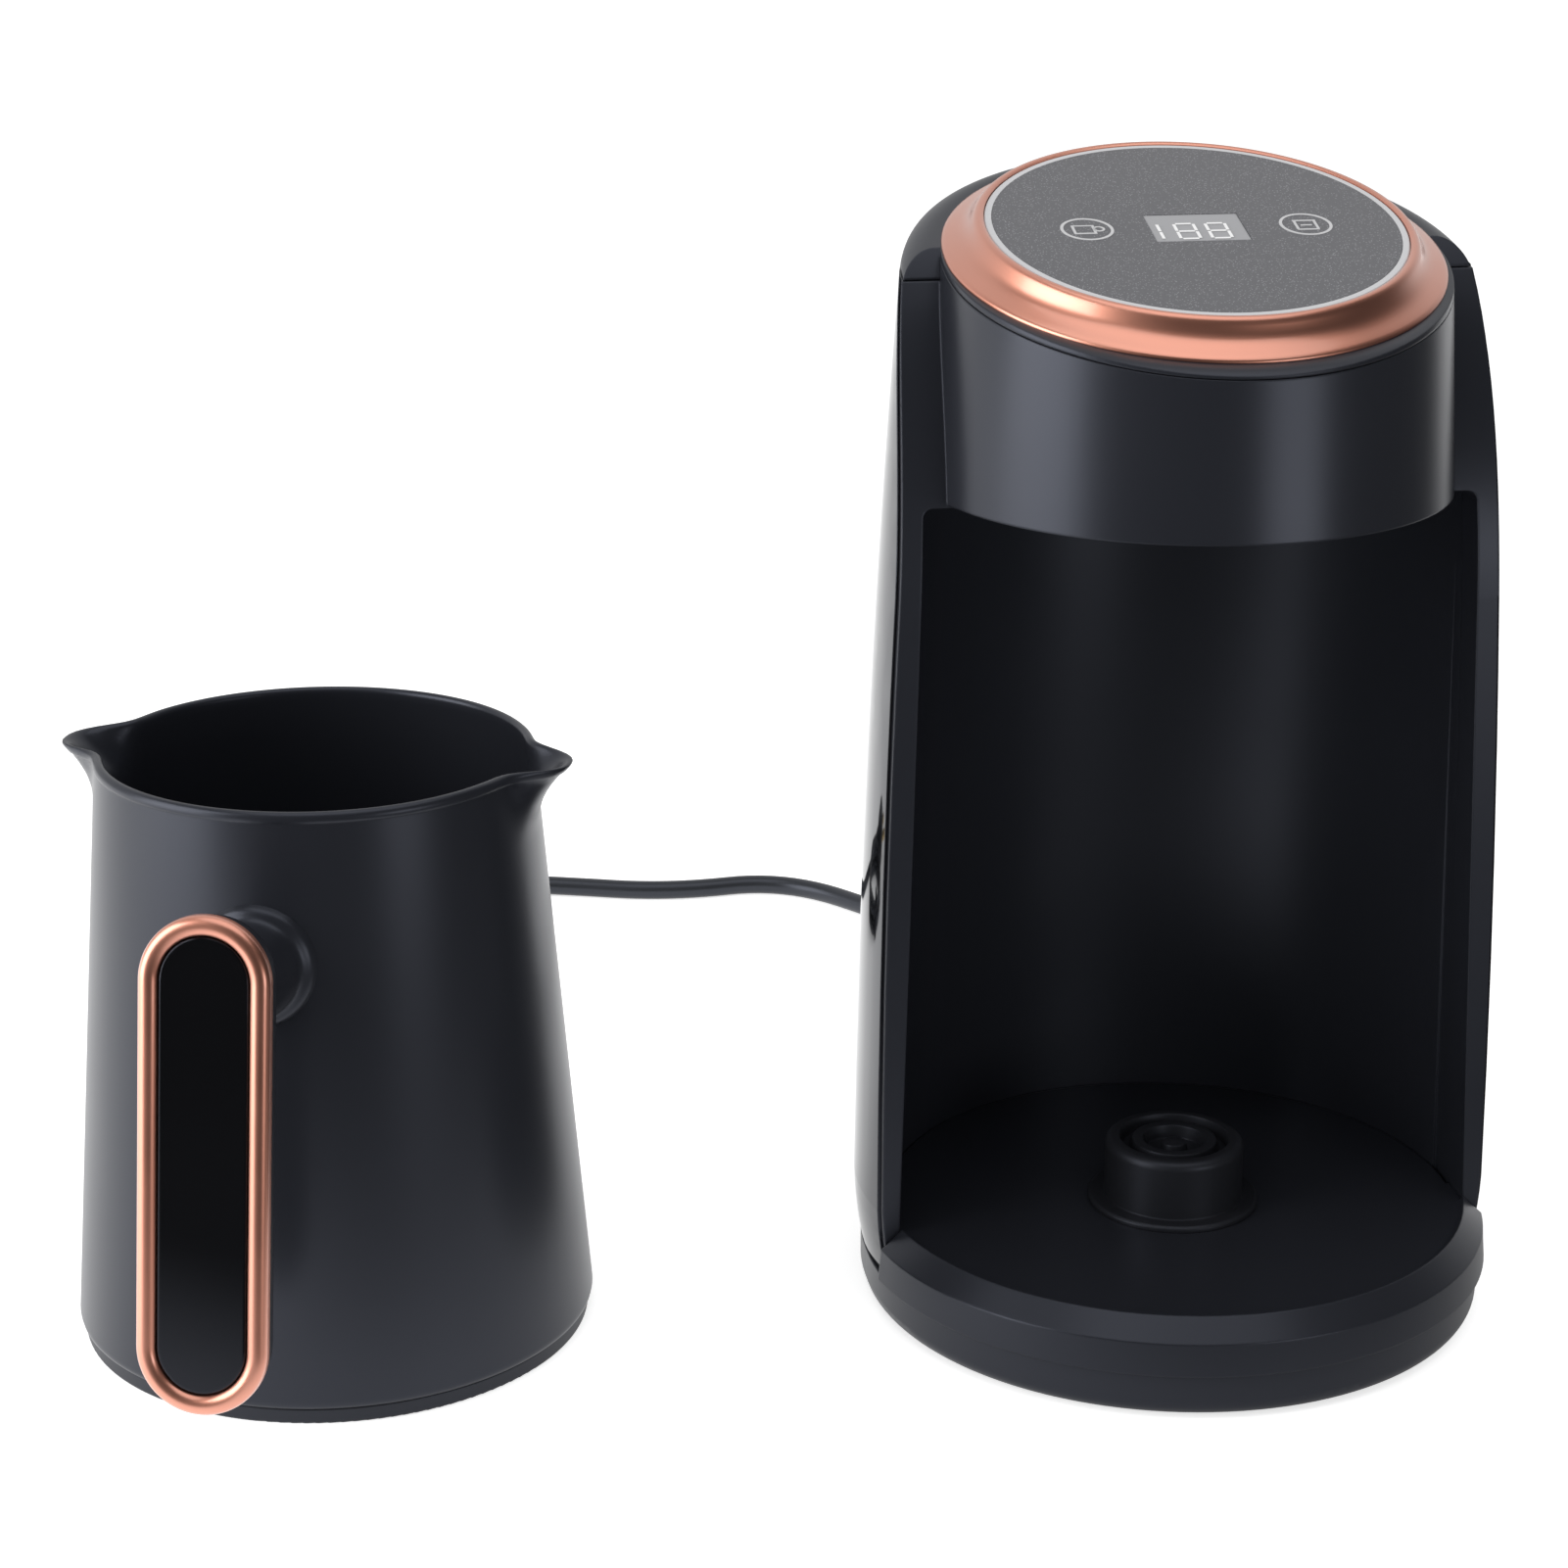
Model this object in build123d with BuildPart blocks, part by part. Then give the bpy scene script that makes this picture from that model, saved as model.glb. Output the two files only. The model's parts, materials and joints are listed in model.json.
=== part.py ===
from build123d import *
import os
from math import cos, exp, pi, radians, sin, sqrt, tan

# Hot-milk and coffee maker: a dock unit with a touch head, and a cordless heated jug parked on its left.
# Millimetres. Origin on the table under the connector's axis, +X right seen from the front, +Y back, +Z up.

# Casing, round in plan
CASE_Y = 8.0
CASE_LOW_Z = 12.2
CASE_LOW_R = 79.9
CASE_FOOT_Z = 30.0
CASE_FOOT_R = 81.9
CASE_WAIST_Z = 115.0
CASE_WAIST_R = 80.2
CASE_CROWN_Z = 292.0
CASE_CROWN_R = 70.3
SHELL_WALL = 2.4
SEAM_GAP = 0.3

# Front frame with the dock's opening and the head
FRAME_Y = -13.4
FRAME_LEAN = 1.84
FRAME_BEND_Z = 185.0
FRAME_BEND_R = 160.0
FRAME_DEPTH = 12.0
FRAME_LIP = 1.8
FRAME_INSET = 0.6
FRAME_LOW_Z = 12.3
HEAD_Y = 12.0
HEAD_Z = 212.7
HEAD_R = 65.3
HEAD_TAPER = 3.5
HEAD_WALL = 2.5
DOCK_Y = 2.0
DOCK_R = 74.0
DOCK_TOP_R = 69.6
DOCK_WALL = 2.2
OPENING_LOW_HALF = 74.4
OPENING_TOP_HALF = 69.1
OPENING_TOP_Z = 211.8
OPENING_CORNER_R = 2.6

# Tilted top with the touch panel
TOP_Y = 13.5
TOP_Z = 268.7
TOP_TILT = 14.1
COVER_T = 5.6
COVER_LIP_T = 1.4
COVER_FLAT_R = 63.0
COVER_EDGE_R = 8.5
COVER_HOLE_R = 48.6
RING_R = 61.4
RING_LIP_R = 52.6
RING_H = 7.8
BEZEL_R = 51.4
PANEL_R = 49.5
PANEL_FACE_H = 7.3
PANEL_T = 2.2
WINDOW_W = 23.4
WINDOW_D = 16.0
WINDOW_V = -0.7
KEY_X = 27.1
KEY_V = -0.5
BOARD_R = 48.0
BOARD_H = -4.4
BOARD_T = 1.6

# Tray, connector and underside
FLOOR_Z = 24.0
FLOOR_T = 2.5
TRAY_Y = 4.2
TRAY_R = 82.0
TRAY_RIM_R = 75.9
TRAY_RIM_Z = 26.0
TRAY_EDGE_R = 81.3
TRAY_EDGE_Z = 20.7
SEAM_Z = 12.0
SOLE_Z = 0.8
SOLE_Y = (3.4, 7.8)
SOLE_R = 80.0
SOLE_WALL = 2.4
SOLE_ROUND = 4.0
BOSS_R = 17.9
BOSS_TOP_Z = 41.4
COLLAR_R = 22.1
COLLAR_T = 1.7
CONNECTOR_HOLE_R = 20.3
FOOT_R = 7.0
FOOT_PLACES = [(0, 0), (-48, -38), (48, -38), (-48, 58), (48, 58)]
SCREW_PLACES = [(-58, -22), (58, -22), (-50, 40), (50, 40)]

# Jug, drawn about its own axis with the handle towards -Y
JUG_X = -216.5
JUG_Y = 16.5
JUG_TURN = -17.4
JUG_LOW_Z = 4.2
JUG_LOW_R = 65.8
JUG_RIM_Z = 152.0
JUG_RIM_R = 51.6
JUG_WALL = 2.2
JUG_LEDGE_Z = 27.0
JUG_OVAL = 2.2
SPOUT_REACH = 8.4
SPOUT_HALF_DEG = 12.0
SPOUT_START_Z = 132.0
SPOUT_LEVELS = 5
SPOUT_STEPS = 9
SPOUT_DIP = 3.0
SOCKET_R = 18.5
SOCKET_OUT_R = 24.0
SOCKET_DEPTH = 18.0
JUG_BASE_R = 64.4
JUG_BASE_T = 4.0
HANDLE_TOP = (-89.0, 140.0)
HANDLE_LOW = (-110.0, 26.0)
HANDLE_W = 31.0
HANDLE_BAR = 4.8
HANDLE_T = 14.0
NECK_Z = 115.0
NECK_R = 8.5
NECK_ROOT_R = 16.5

# Mains cord
CORD_D = 6.2
CORD_X = 6.0
CORD_EXIT_Z = 20.0
GLAND_END_Y = 123.0
COIL_AT = (-206.0, 285.0)
COIL_R_OUT = 38.4
COIL_PITCH = 7.0
COIL_TURNS = 1.25
COIL_LOW_Z = 4.5
COIL_RISE = 6.9
PLUG_T = 22.0
PIN_D = 4.8
PIN_SPACING = 19.0
PIN_L = 19.0

CASE_AXIS = Axis((0, CASE_Y, 0), (0, 0, 1))
TRAY_AXIS = Axis((0, TRAY_Y, 0), (0, 0, 1))
TOP = Plane(
    origin=(0, TOP_Y, TOP_Z),
    x_dir=(1, 0, 0),
    z_dir=(0, -sin(radians(TOP_TILT)), cos(radians(TOP_TILT))),
)
JUG = Location((JUG_X, JUG_Y, 0), (0, 0, JUG_TURN))

os.makedirs("parts", exist_ok=True)


def write(piece, name):
    """Label a finished piece and write it."""
    piece.label = name
    export_step(piece, f"parts/{name}.step")


def casing(inset, low=CASE_LOW_Z, high=CASE_CROWN_Z):
    """Solid inside the casing's round skin, drawn in by inset."""
    with BuildPart() as body:
        with BuildSketch(Plane.XZ.offset(-CASE_Y)):
            with BuildLine():
                Polyline((0, CASE_CROWN_Z), (0, CASE_LOW_Z), (CASE_LOW_R - inset, CASE_LOW_Z))
                ThreePointArc(
                    (CASE_LOW_R - inset, CASE_LOW_Z),
                    (CASE_FOOT_R - 0.6 - inset, (CASE_LOW_Z + CASE_FOOT_Z) / 2),
                    (CASE_FOOT_R - inset, CASE_FOOT_Z),
                )
                ThreePointArc(
                    (CASE_FOOT_R - inset, CASE_FOOT_Z),
                    (CASE_WAIST_R - inset, CASE_WAIST_Z),
                    (CASE_CROWN_R - inset, CASE_CROWN_Z),
                )
                Line((CASE_CROWN_R - inset, CASE_CROWN_Z), (0, CASE_CROWN_Z))
            make_face()
        revolve(axis=CASE_AXIS)
        split(bisect_by=Plane.XY.offset(low), keep=Keep.TOP)
        split(bisect_by=Plane.XY.offset(high), keep=Keep.BOTTOM)
    return body.part


def behind_fascia(setback):
    """Everything behind the frame's front surface, which leans and then bends back towards the top."""
    with BuildPart() as body:
        with BuildSketch(Plane.YZ):
            with BuildLine():
                lean = FRAME_BEND_Z * tan(radians(FRAME_LEAN))
                rise = Line((FRAME_Y + setback, 0), (FRAME_Y + setback + lean, FRAME_BEND_Z))
                bend = JernArc(rise @ 1, rise % 1, FRAME_BEND_R - setback, -50)
                Polyline(bend @ 1, (140, (bend @ 1).Y), (140, 0), rise @ 0)
            make_face()
        extrude(amount=120, both=True)
    return body.part


def under_top(drop):
    """Everything under the tilted top, lowered by drop."""
    with BuildPart() as body:
        with BuildSketch(TOP.offset(-drop)):
            Rectangle(400, 400)
        extrude(amount=-360)
    return body.part


def tapered(radius, top_radius, y, low, high):
    """Upright round frustum on an axis in the middle plane."""
    with BuildPart() as body:
        with BuildSketch(Plane.XZ.offset(-y)):
            Polygon((0, low), (radius, low), (top_radius, high), (0, high), align=None)
        revolve(axis=Axis((0, y, 0), (0, 0, 1)))
    return body.part


def head_radius(z, inset):
    """Radius of the head's barrel at a height."""
    return HEAD_R - inset - (z - HEAD_Z) * tan(radians(HEAD_TAPER))


def dock_radius(z, extra):
    """Radius of the dock's round wall at a height."""
    share = (z - FLOOR_Z) / (HEAD_Z - FLOOR_Z)
    return DOCK_R + (DOCK_TOP_R - DOCK_R) * share + extra


FASCIA = behind_fascia(0)
FASCIA_LIP = behind_fascia(FRAME_LIP)
FASCIA_BACK = behind_fascia(FRAME_DEPTH)
CASE_SKIN = casing(0)
CASE_FRAME = casing(FRAME_INSET, FRAME_LOW_Z)
CASE_LINING = casing(SHELL_WALL + SEAM_GAP, FRAME_LOW_Z)
BARREL = tapered(HEAD_R, head_radius(CASE_CROWN_Z, 0), HEAD_Y, HEAD_Z, CASE_CROWN_Z)
BARREL_HOLLOW = tapered(
    head_radius(HEAD_Z + HEAD_WALL, HEAD_WALL),
    head_radius(CASE_CROWN_Z, HEAD_WALL),
    HEAD_Y,
    HEAD_Z + HEAD_WALL,
    CASE_CROWN_Z,
)
DOCK_SKIN = tapered(
    dock_radius(FRAME_LOW_Z, DOCK_WALL),
    dock_radius(HEAD_Z + HEAD_WALL, DOCK_WALL),
    DOCK_Y,
    FRAME_LOW_Z,
    HEAD_Z + HEAD_WALL,
)
DOCK_HOLLOW = tapered(
    dock_radius(FRAME_LOW_Z - 4, 0), dock_radius(HEAD_Z, 0), DOCK_Y, FRAME_LOW_Z - 4, HEAD_Z
)

# Front frame: fascia, head barrel with its underside, and the dock's round back wall, one moulding
with BuildPart() as dock_wall:
    add(DOCK_SKIN)
    add(CASE_LINING, mode=Mode.INTERSECT)
    add(FASCIA_LIP, mode=Mode.INTERSECT)

with BuildPart() as dock_space:
    add(DOCK_HOLLOW)
    add(FASCIA_BACK, mode=Mode.INTERSECT)

with BuildPart() as fascia_lip:
    add(CASE_FRAME)
    add(FASCIA, mode=Mode.INTERSECT)
    add(FASCIA_LIP, mode=Mode.SUBTRACT)

# Space of the top cover above the shoulders' seam
with BuildPart() as cover_space:
    with BuildSketch(TOP.offset(-COVER_T - SEAM_GAP)):
        Rectangle(300, 300)
    extrude(amount=80)
    add(behind_fascia(-SEAM_GAP), mode=Mode.INTERSECT)

# Plan of the tray where it runs under the frame's two feet
with BuildPart() as tray_seat:
    with BuildSketch(Plane.XY.offset(FRAME_LOW_Z - 4)):
        with Locations((0, TRAY_Y)):
            Circle(TRAY_RIM_R + SEAM_GAP)
        with Locations((0, FRAME_Y + FRAME_DEPTH)):
            Rectangle(240, 240, align=(Align.CENTER, Align.MIN), mode=Mode.SUBTRACT)
    extrude(amount=FLOOR_Z + 0.05 - FRAME_LOW_Z + 4)

OPENING = [
    (-OPENING_LOW_HALF - 0.4, FRAME_LOW_Z - 4),
    (-OPENING_TOP_HALF, OPENING_TOP_Z),
    (OPENING_TOP_HALF, OPENING_TOP_Z),
    (OPENING_LOW_HALF + 0.4, FRAME_LOW_Z - 4),
]
with BuildPart() as front_frame:
    add(CASE_LINING)
    add(FASCIA, mode=Mode.INTERSECT)
    add(fascia_lip.part)
    add(BARREL)
    add(FASCIA_BACK, mode=Mode.SUBTRACT)
    add(dock_wall.part)
    add(dock_space.part, mode=Mode.SUBTRACT)
    with BuildSketch(Plane.XZ.offset(60)):
        with BuildLine():
            FilletPolyline(*OPENING, radius=OPENING_CORNER_R)
            Line(OPENING[-1], OPENING[0])
        make_face()
    extrude(amount=-70, mode=Mode.SUBTRACT)
    add(tray_seat.part, mode=Mode.SUBTRACT)
    add(BARREL_HOLLOW, mode=Mode.SUBTRACT)
    add(cover_space.part, mode=Mode.SUBTRACT)
    add(under_top(COVER_LIP_T + SEAM_GAP), mode=Mode.INTERSECT)
write(front_frame.part, "front_frame")

# Rear shell: glossy round casing behind the frame
with BuildPart() as rear_shell:
    add(CASE_SKIN)
    add(casing(SHELL_WALL), mode=Mode.SUBTRACT)
    add(FASCIA_LIP, mode=Mode.INTERSECT)
    add(under_top(COVER_T + SEAM_GAP), mode=Mode.INTERSECT)
    with BuildSketch(Plane.XZ.offset(-60)):
        with Locations((CORD_X, CORD_EXIT_Z)):
            Circle(5.4)
    extrude(amount=-60, mode=Mode.SUBTRACT)
write(rear_shell.part, "rear_shell")

# Top cover: tilted lid, deep over the casing's shoulders and a thin lip over the barrel, rounded off all round
with BuildPart() as cover_round:
    with BuildSketch(Plane.XZ):
        with BuildLine():
            Polyline((COVER_FLAT_R, 0), (0, 0), (0, -20), (COVER_FLAT_R + COVER_EDGE_R, -20))
            Line((COVER_FLAT_R + COVER_EDGE_R, -20), (COVER_FLAT_R + COVER_EDGE_R, -COVER_EDGE_R))
            RadiusArc((COVER_FLAT_R + COVER_EDGE_R, -COVER_EDGE_R), (COVER_FLAT_R, 0), -COVER_EDGE_R)
        make_face()
    revolve(axis=Axis.Z)

with BuildPart() as cover_lip:
    add(BARREL)
    add(under_top(COVER_LIP_T), mode=Mode.SUBTRACT)

with BuildPart() as top_cover:
    add(CASE_SKIN)
    add(FASCIA, mode=Mode.INTERSECT)
    add(under_top(COVER_T), mode=Mode.SUBTRACT)
    add(cover_lip.part)
    add(cover_round.part.moved(TOP.location), mode=Mode.INTERSECT)
    with BuildSketch(TOP):
        Circle(COVER_HOLE_R)
    extrude(amount=-3 * COVER_T, mode=Mode.SUBTRACT)
write(top_cover.part, "top_cover")


def turned(points):
    """Ring or disc turned about the local Z axis from a profile of (radius, height) points."""
    with BuildPart() as body:
        with BuildSketch(Plane.XZ):
            Polygon(*points, align=None)
        revolve(axis=Axis.Z)
    return body.part


# Rose-gold trim ring: flat foot, rounded shoulder, cove up to the lip, ledge and posts inside
LEDGE_H = PANEL_FACE_H - PANEL_T
with BuildPart() as trim_ring:
    with BuildSketch(Plane.XZ):
        with BuildLine():
            foot = Polyline((RING_R - 1.6, 0), (RING_R, 0), (RING_R, 1.0))
            shoulder = ThreePointArc(foot @ 1, (RING_R - 1.5, 2.9), (RING_R - 4.2, 3.7))
            cove = ThreePointArc(shoulder @ 1, (RING_LIP_R + 1.5, 5.2), (RING_LIP_R + 0.4, RING_H - 0.4))
            lip = ThreePointArc(cove @ 1, (RING_LIP_R, RING_H), (RING_LIP_R - 0.6, RING_H - 0.4))
            Polyline(
                lip @ 1,
                (BEZEL_R + 0.1, PANEL_FACE_H - 1.0),
                (BEZEL_R + 0.1, LEDGE_H),
                (44, LEDGE_H),
                (44, LEDGE_H - 2.4),
                (BEZEL_R + 2, LEDGE_H - 2.4),
                (BEZEL_R + 2, 0.02),
                foot @ 0,
            )
        make_face()
    revolve(axis=Axis.Z)
    with BuildSketch(Plane.XY.offset(BOARD_H + BOARD_T)):
        with PolarLocations(46, 4, start_angle=45):
            Circle(1.9)
    extrude(until=Until.NEXT)
write(trim_ring.part.moved(TOP.location), "trim_ring")

with BuildPart() as panel_bezel:
    add(
        turned(
            [
                (PANEL_R + 0.1, LEDGE_H),
                (BEZEL_R, LEDGE_H),
                (BEZEL_R, PANEL_FACE_H - 0.3),
                (BEZEL_R - 0.3, PANEL_FACE_H),
                (PANEL_R + 0.1, PANEL_FACE_H),
            ]
        )
    )
write(panel_bezel.part.moved(TOP.location), "panel_bezel")

with BuildPart() as touch_panel:
    with BuildSketch(Plane.XY.offset(LEDGE_H)):
        Circle(PANEL_R)
        with Locations((0, WINDOW_V)):
            Rectangle(WINDOW_W, WINDOW_D, mode=Mode.SUBTRACT)
    extrude(amount=PANEL_T)
write(touch_panel.part.moved(TOP.location), "touch_panel")

with BuildPart() as display_window:
    with BuildSketch(Plane.XY.offset(LEDGE_H)):
        with Locations((0, WINDOW_V)):
            Rectangle(WINDOW_W - 0.1, WINDOW_D - 0.1)
    extrude(amount=PANEL_T - 0.1)
write(display_window.part.moved(TOP.location), "display_window")

BOARD_TOP = BOARD_H + BOARD_T
with BuildPart() as control_board:
    with BuildSketch(Plane.XY.offset(BOARD_H)):
        Circle(BOARD_R)
        with PolarLocations(46, 4, start_angle=45):
            Circle(1.1, mode=Mode.SUBTRACT)
    extrude(amount=BOARD_T)
write(control_board.part.moved(TOP.location), "control_board")

with BuildPart() as board_screws:
    with BuildSketch(Plane.XY.offset(BOARD_H)):
        with PolarLocations(46, 4, start_angle=45):
            Circle(1.0)
    extrude(amount=BOARD_T)
    with BuildSketch(Plane.XY.offset(BOARD_H - 1.4)):
        with PolarLocations(46, 4, start_angle=45):
            Circle(1.9)
    extrude(amount=1.4)
write(board_screws.part.moved(TOP.location), "board_screws")

with BuildPart() as display_module:
    with BuildSketch(Plane.XY.offset(BOARD_TOP)):
        with Locations((0, WINDOW_V)):
            Rectangle(WINDOW_W + 2, WINDOW_D + 1)
    extrude(amount=LEDGE_H - BOARD_TOP - 0.1)
    chamfer(display_module.faces().sort_by(Axis.Z)[-1].edges(), 0.5)
write(display_module.part.moved(TOP.location), "display_module")

with BuildPart() as touch_springs:
    with BuildSketch(Plane.XY.offset(BOARD_TOP)):
        with Locations((-KEY_X, KEY_V), (KEY_X, KEY_V)):
            Circle(4.5)
            Circle(3.3, mode=Mode.SUBTRACT)
    extrude(amount=LEDGE_H - BOARD_TOP - 0.1)
write(touch_springs.part.moved(TOP.location), "touch_springs")

with BuildPart() as buzzer:
    with BuildSketch(Plane.XY.offset(BOARD_H)):
        with Locations((18, 24)):
            Circle(6)
    extrude(amount=-7)
    fillet(buzzer.edges().sort_by(Axis.Z)[0], 0.6)
write(buzzer.part.moved(TOP.location), "buzzer")

# Dock tray: round floor, kerb and chamfered rim in front of the frame's feet, screw columns under it
with BuildPart() as base_tray:
    with BuildSketch(Plane.XZ.offset(-TRAY_Y)):
        with BuildLine():
            Polyline((0, FLOOR_Z - FLOOR_T), (0, FLOOR_Z), (TRAY_RIM_R - 3, FLOOR_Z))
            ThreePointArc(
                (TRAY_RIM_R - 3, FLOOR_Z), (TRAY_RIM_R - 1, FLOOR_Z + 0.5), (TRAY_RIM_R, TRAY_RIM_Z)
            )
            Polyline(
                (TRAY_RIM_R, TRAY_RIM_Z),
                (TRAY_EDGE_R, TRAY_EDGE_Z),
                (TRAY_R, SEAM_Z + SEAM_GAP),
                (TRAY_R - 2.5, SEAM_Z + SEAM_GAP),
                (TRAY_EDGE_R - 2.5, TRAY_EDGE_Z - 1.5),
                (TRAY_RIM_R - 1.5, FLOOR_Z - FLOOR_T),
                (0, FLOOR_Z - FLOOR_T),
            )
        make_face()
    revolve(axis=TRAY_AXIS)
    split(bisect_by=Plane.XZ.offset(-FRAME_Y + SEAM_GAP), keep=Keep.TOP)
    with BuildSketch(Plane.XY.offset(FLOOR_Z - FLOOR_T)):
        with Locations((0, TRAY_Y)):
            Circle(TRAY_RIM_R)
        with Locations((0, FRAME_Y + FRAME_DEPTH - SEAM_GAP)):
            Rectangle(240, 240, align=(Align.CENTER, Align.MIN), mode=Mode.SUBTRACT)
        with Locations((0, FRAME_Y - SEAM_GAP)):
            Rectangle(240, 240, align=(Align.CENTER, Align.MAX), mode=Mode.SUBTRACT)
        with Locations((0, DOCK_Y)):
            Circle(DOCK_R - 0.5)
    extrude(amount=FLOOR_T)
    with BuildSketch(Plane.XY.offset(SOLE_Z + SOLE_WALL + 0.2)):
        with Locations(SCREW_PLACES):
            Circle(3.6)
    extrude(until=Until.NEXT)
    with BuildSketch(Plane.XY.offset(SOLE_Z)):
        with Locations(SCREW_PLACES):
            Circle(1.55)
    extrude(amount=14, mode=Mode.SUBTRACT)
    with BuildSketch(Plane.XY.offset(FLOOR_Z - 6)):
        Circle(CONNECTOR_HOLE_R)
    extrude(amount=12, mode=Mode.SUBTRACT)
write(base_tray.part, "base_tray")

# Bottom cover: shallow rounded dish under tray and casing
BOARD_AT = (0.0, 47.0)
BOARD_W = 62.0
BOARD_D = 36.0
BOARD_LOW = SOLE_Z + SOLE_WALL + 3.0
BOARD_POSTS = [(x, y) for x in (-27, 27) for y in (33, 61)]
with BuildPart() as bottom_cover:
    with BuildSketch(Plane.XY.offset(SOLE_Z)):
        with Locations((0, sum(SOLE_Y) / 2)):
            SlotCenterToCenter(SOLE_Y[1] - SOLE_Y[0], 2 * SOLE_R, rotation=90)
    extrude(amount=SEAM_Z - SOLE_Z)
    fillet(bottom_cover.faces().sort_by(Axis.Z)[0].edges(), SOLE_ROUND)
    with BuildSketch(Plane.XY.offset(SOLE_Z + SOLE_WALL)):
        with Locations((0, sum(SOLE_Y) / 2)):
            SlotCenterToCenter(SOLE_Y[1] - SOLE_Y[0], 2 * (SOLE_R - 4.5), rotation=90)
    extrude(amount=SEAM_Z, mode=Mode.SUBTRACT)
    with BuildSketch(Plane.XY.offset(SOLE_Z + SOLE_WALL)):
        with Locations(BOARD_POSTS):
            Circle(2.6)
    extrude(amount=3.0)
    with BuildSketch(Plane.XY.offset(SOLE_Z)):
        with Locations(FOOT_PLACES):
            Circle(FOOT_R + 0.1)
    extrude(amount=0.9, mode=Mode.SUBTRACT)
    with Locations([(x, y, SOLE_Z) for x, y in SCREW_PLACES]):
        with Locations(Rotation(180, 0, 0)):
            CounterBoreHole(1.9, 3.2, 1.4, depth=8)
write(bottom_cover.part, "bottom_cover")

with BuildPart() as rubber_feet:
    with BuildSketch(Plane.XY):
        with Locations(FOOT_PLACES):
            Circle(FOOT_R)
    extrude(amount=SOLE_Z + 0.9)
    fillet(rubber_feet.edges().group_by(Axis.Z)[0], 0.8)
write(rubber_feet.part, "rubber_feet")

with BuildPart() as base_screws:
    with BuildSketch(Plane.XY.offset(SOLE_Z)):
        with Locations(SCREW_PLACES):
            Circle(2.9)
    extrude(amount=1.4)
    with BuildSketch(Plane.XY.offset(SOLE_Z + 1.4)):
        with Locations(SCREW_PLACES):
            Circle(1.5)
    extrude(amount=11)
write(base_screws.part, "base_screws")

# Round connector that the jug sits on: collar, boss with two contact wells and a centre nub
with BuildPart() as connector_boss:
    with BuildSketch(Plane.XZ):
        with BuildLine():
            Polyline(
                (0, FLOOR_Z - 12),
                (CONNECTOR_HOLE_R - 0.3, FLOOR_Z - 12),
                (CONNECTOR_HOLE_R - 0.3, FLOOR_Z),
                (COLLAR_R, FLOOR_Z),
                (COLLAR_R, FLOOR_Z + COLLAR_T - 0.6),
                (COLLAR_R - 0.6, FLOOR_Z + COLLAR_T),
                (BOSS_R, FLOOR_Z + COLLAR_T),
                (BOSS_R, BOSS_TOP_Z - 2.2),
            )
            ThreePointArc(
                (BOSS_R, BOSS_TOP_Z - 2.2), (BOSS_R - 0.64, BOSS_TOP_Z - 0.64), (BOSS_R - 2.2, BOSS_TOP_Z)
            )
            Polyline(
                (BOSS_R - 2.2, BOSS_TOP_Z),
                (14.2, BOSS_TOP_Z),
                (13.6, BOSS_TOP_Z - 3.4),
                (11.4, BOSS_TOP_Z - 3.4),
                (10.8, BOSS_TOP_Z - 0.6),
                (8.2, BOSS_TOP_Z - 0.6),
                (7.6, BOSS_TOP_Z - 4.0),
                (3.6, BOSS_TOP_Z - 4.0),
                (3.0, BOSS_TOP_Z - 1.6),
                (0, BOSS_TOP_Z - 1.2),
                (0, FLOOR_Z - 12),
            )
        make_face()
    revolve(axis=Axis.Z)
write(connector_boss.part, "connector_boss")

TAB_PLACES = [(-11, -6), (-5.5, 7), (0, -6), (5.5, 7), (11, -6)]
with BuildPart() as connector_tabs:
    with BuildSketch(Plane.XY.offset(FLOOR_Z - 12)):
        with Locations(TAB_PLACES):
            Rectangle(4.8, 0.8)
    extrude(amount=-6.5)
write(connector_tabs.part, "connector_tabs")

# Supply board and its parts, low in the rear of the base
with BuildPart() as power_board:
    with BuildSketch(Plane.XY.offset(BOARD_LOW)):
        with Locations(BOARD_AT):
            Rectangle(BOARD_W, BOARD_D)
    extrude(amount=BOARD_T)
write(power_board.part, "power_board")

with BuildPart() as relay:
    with BuildSketch(Plane.XY.offset(BOARD_LOW + BOARD_T)):
        with Locations((-18, 46)):
            Rectangle(19, 15.5)
    extrude(amount=11)
    fillet(relay.edges().filter_by(Axis.Z), 0.8)
write(relay.part, "relay")

with BuildPart() as transformer:
    with BuildSketch(Plane.XY.offset(BOARD_LOW + BOARD_T)):
        with Locations((8, 46)):
            Rectangle(18, 16)
    extrude(amount=3)
    with BuildSketch(Plane.XY.offset(BOARD_LOW + BOARD_T + 3)):
        with Locations((8, 46)):
            RectangleRounded(14, 14, 2)
    extrude(amount=8)
write(transformer.part, "transformer")

with BuildPart() as supply_capacitor:
    with BuildSketch(Plane.XY.offset(BOARD_LOW + BOARD_T)):
        with Locations((24, 47)):
            Circle(4.2)
    extrude(amount=10.5)
    fillet(supply_capacitor.edges().sort_by(Axis.Z)[-1], 0.6)
write(supply_capacitor.part, "supply_capacitor")


def tube(points, radius, diameter, name):
    """Round tube along straight runs joined by tangent arcs, with its volume test."""
    with BuildPart() as body:
        with BuildLine() as route:
            FilletPolyline(*points, radius=radius)
        start = route.wires()[0]
        with BuildSketch(Plane(start @ 0, z_dir=start % 0)):
            Circle(diameter / 2)
        sweep(path=start)
    ideal = start.length * pi * diameter**2 / 4
    print(f"{name}: length {start.length:.0f}, volume over section times length {body.part.volume / ideal:.4f}")
    return body.part


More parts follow.
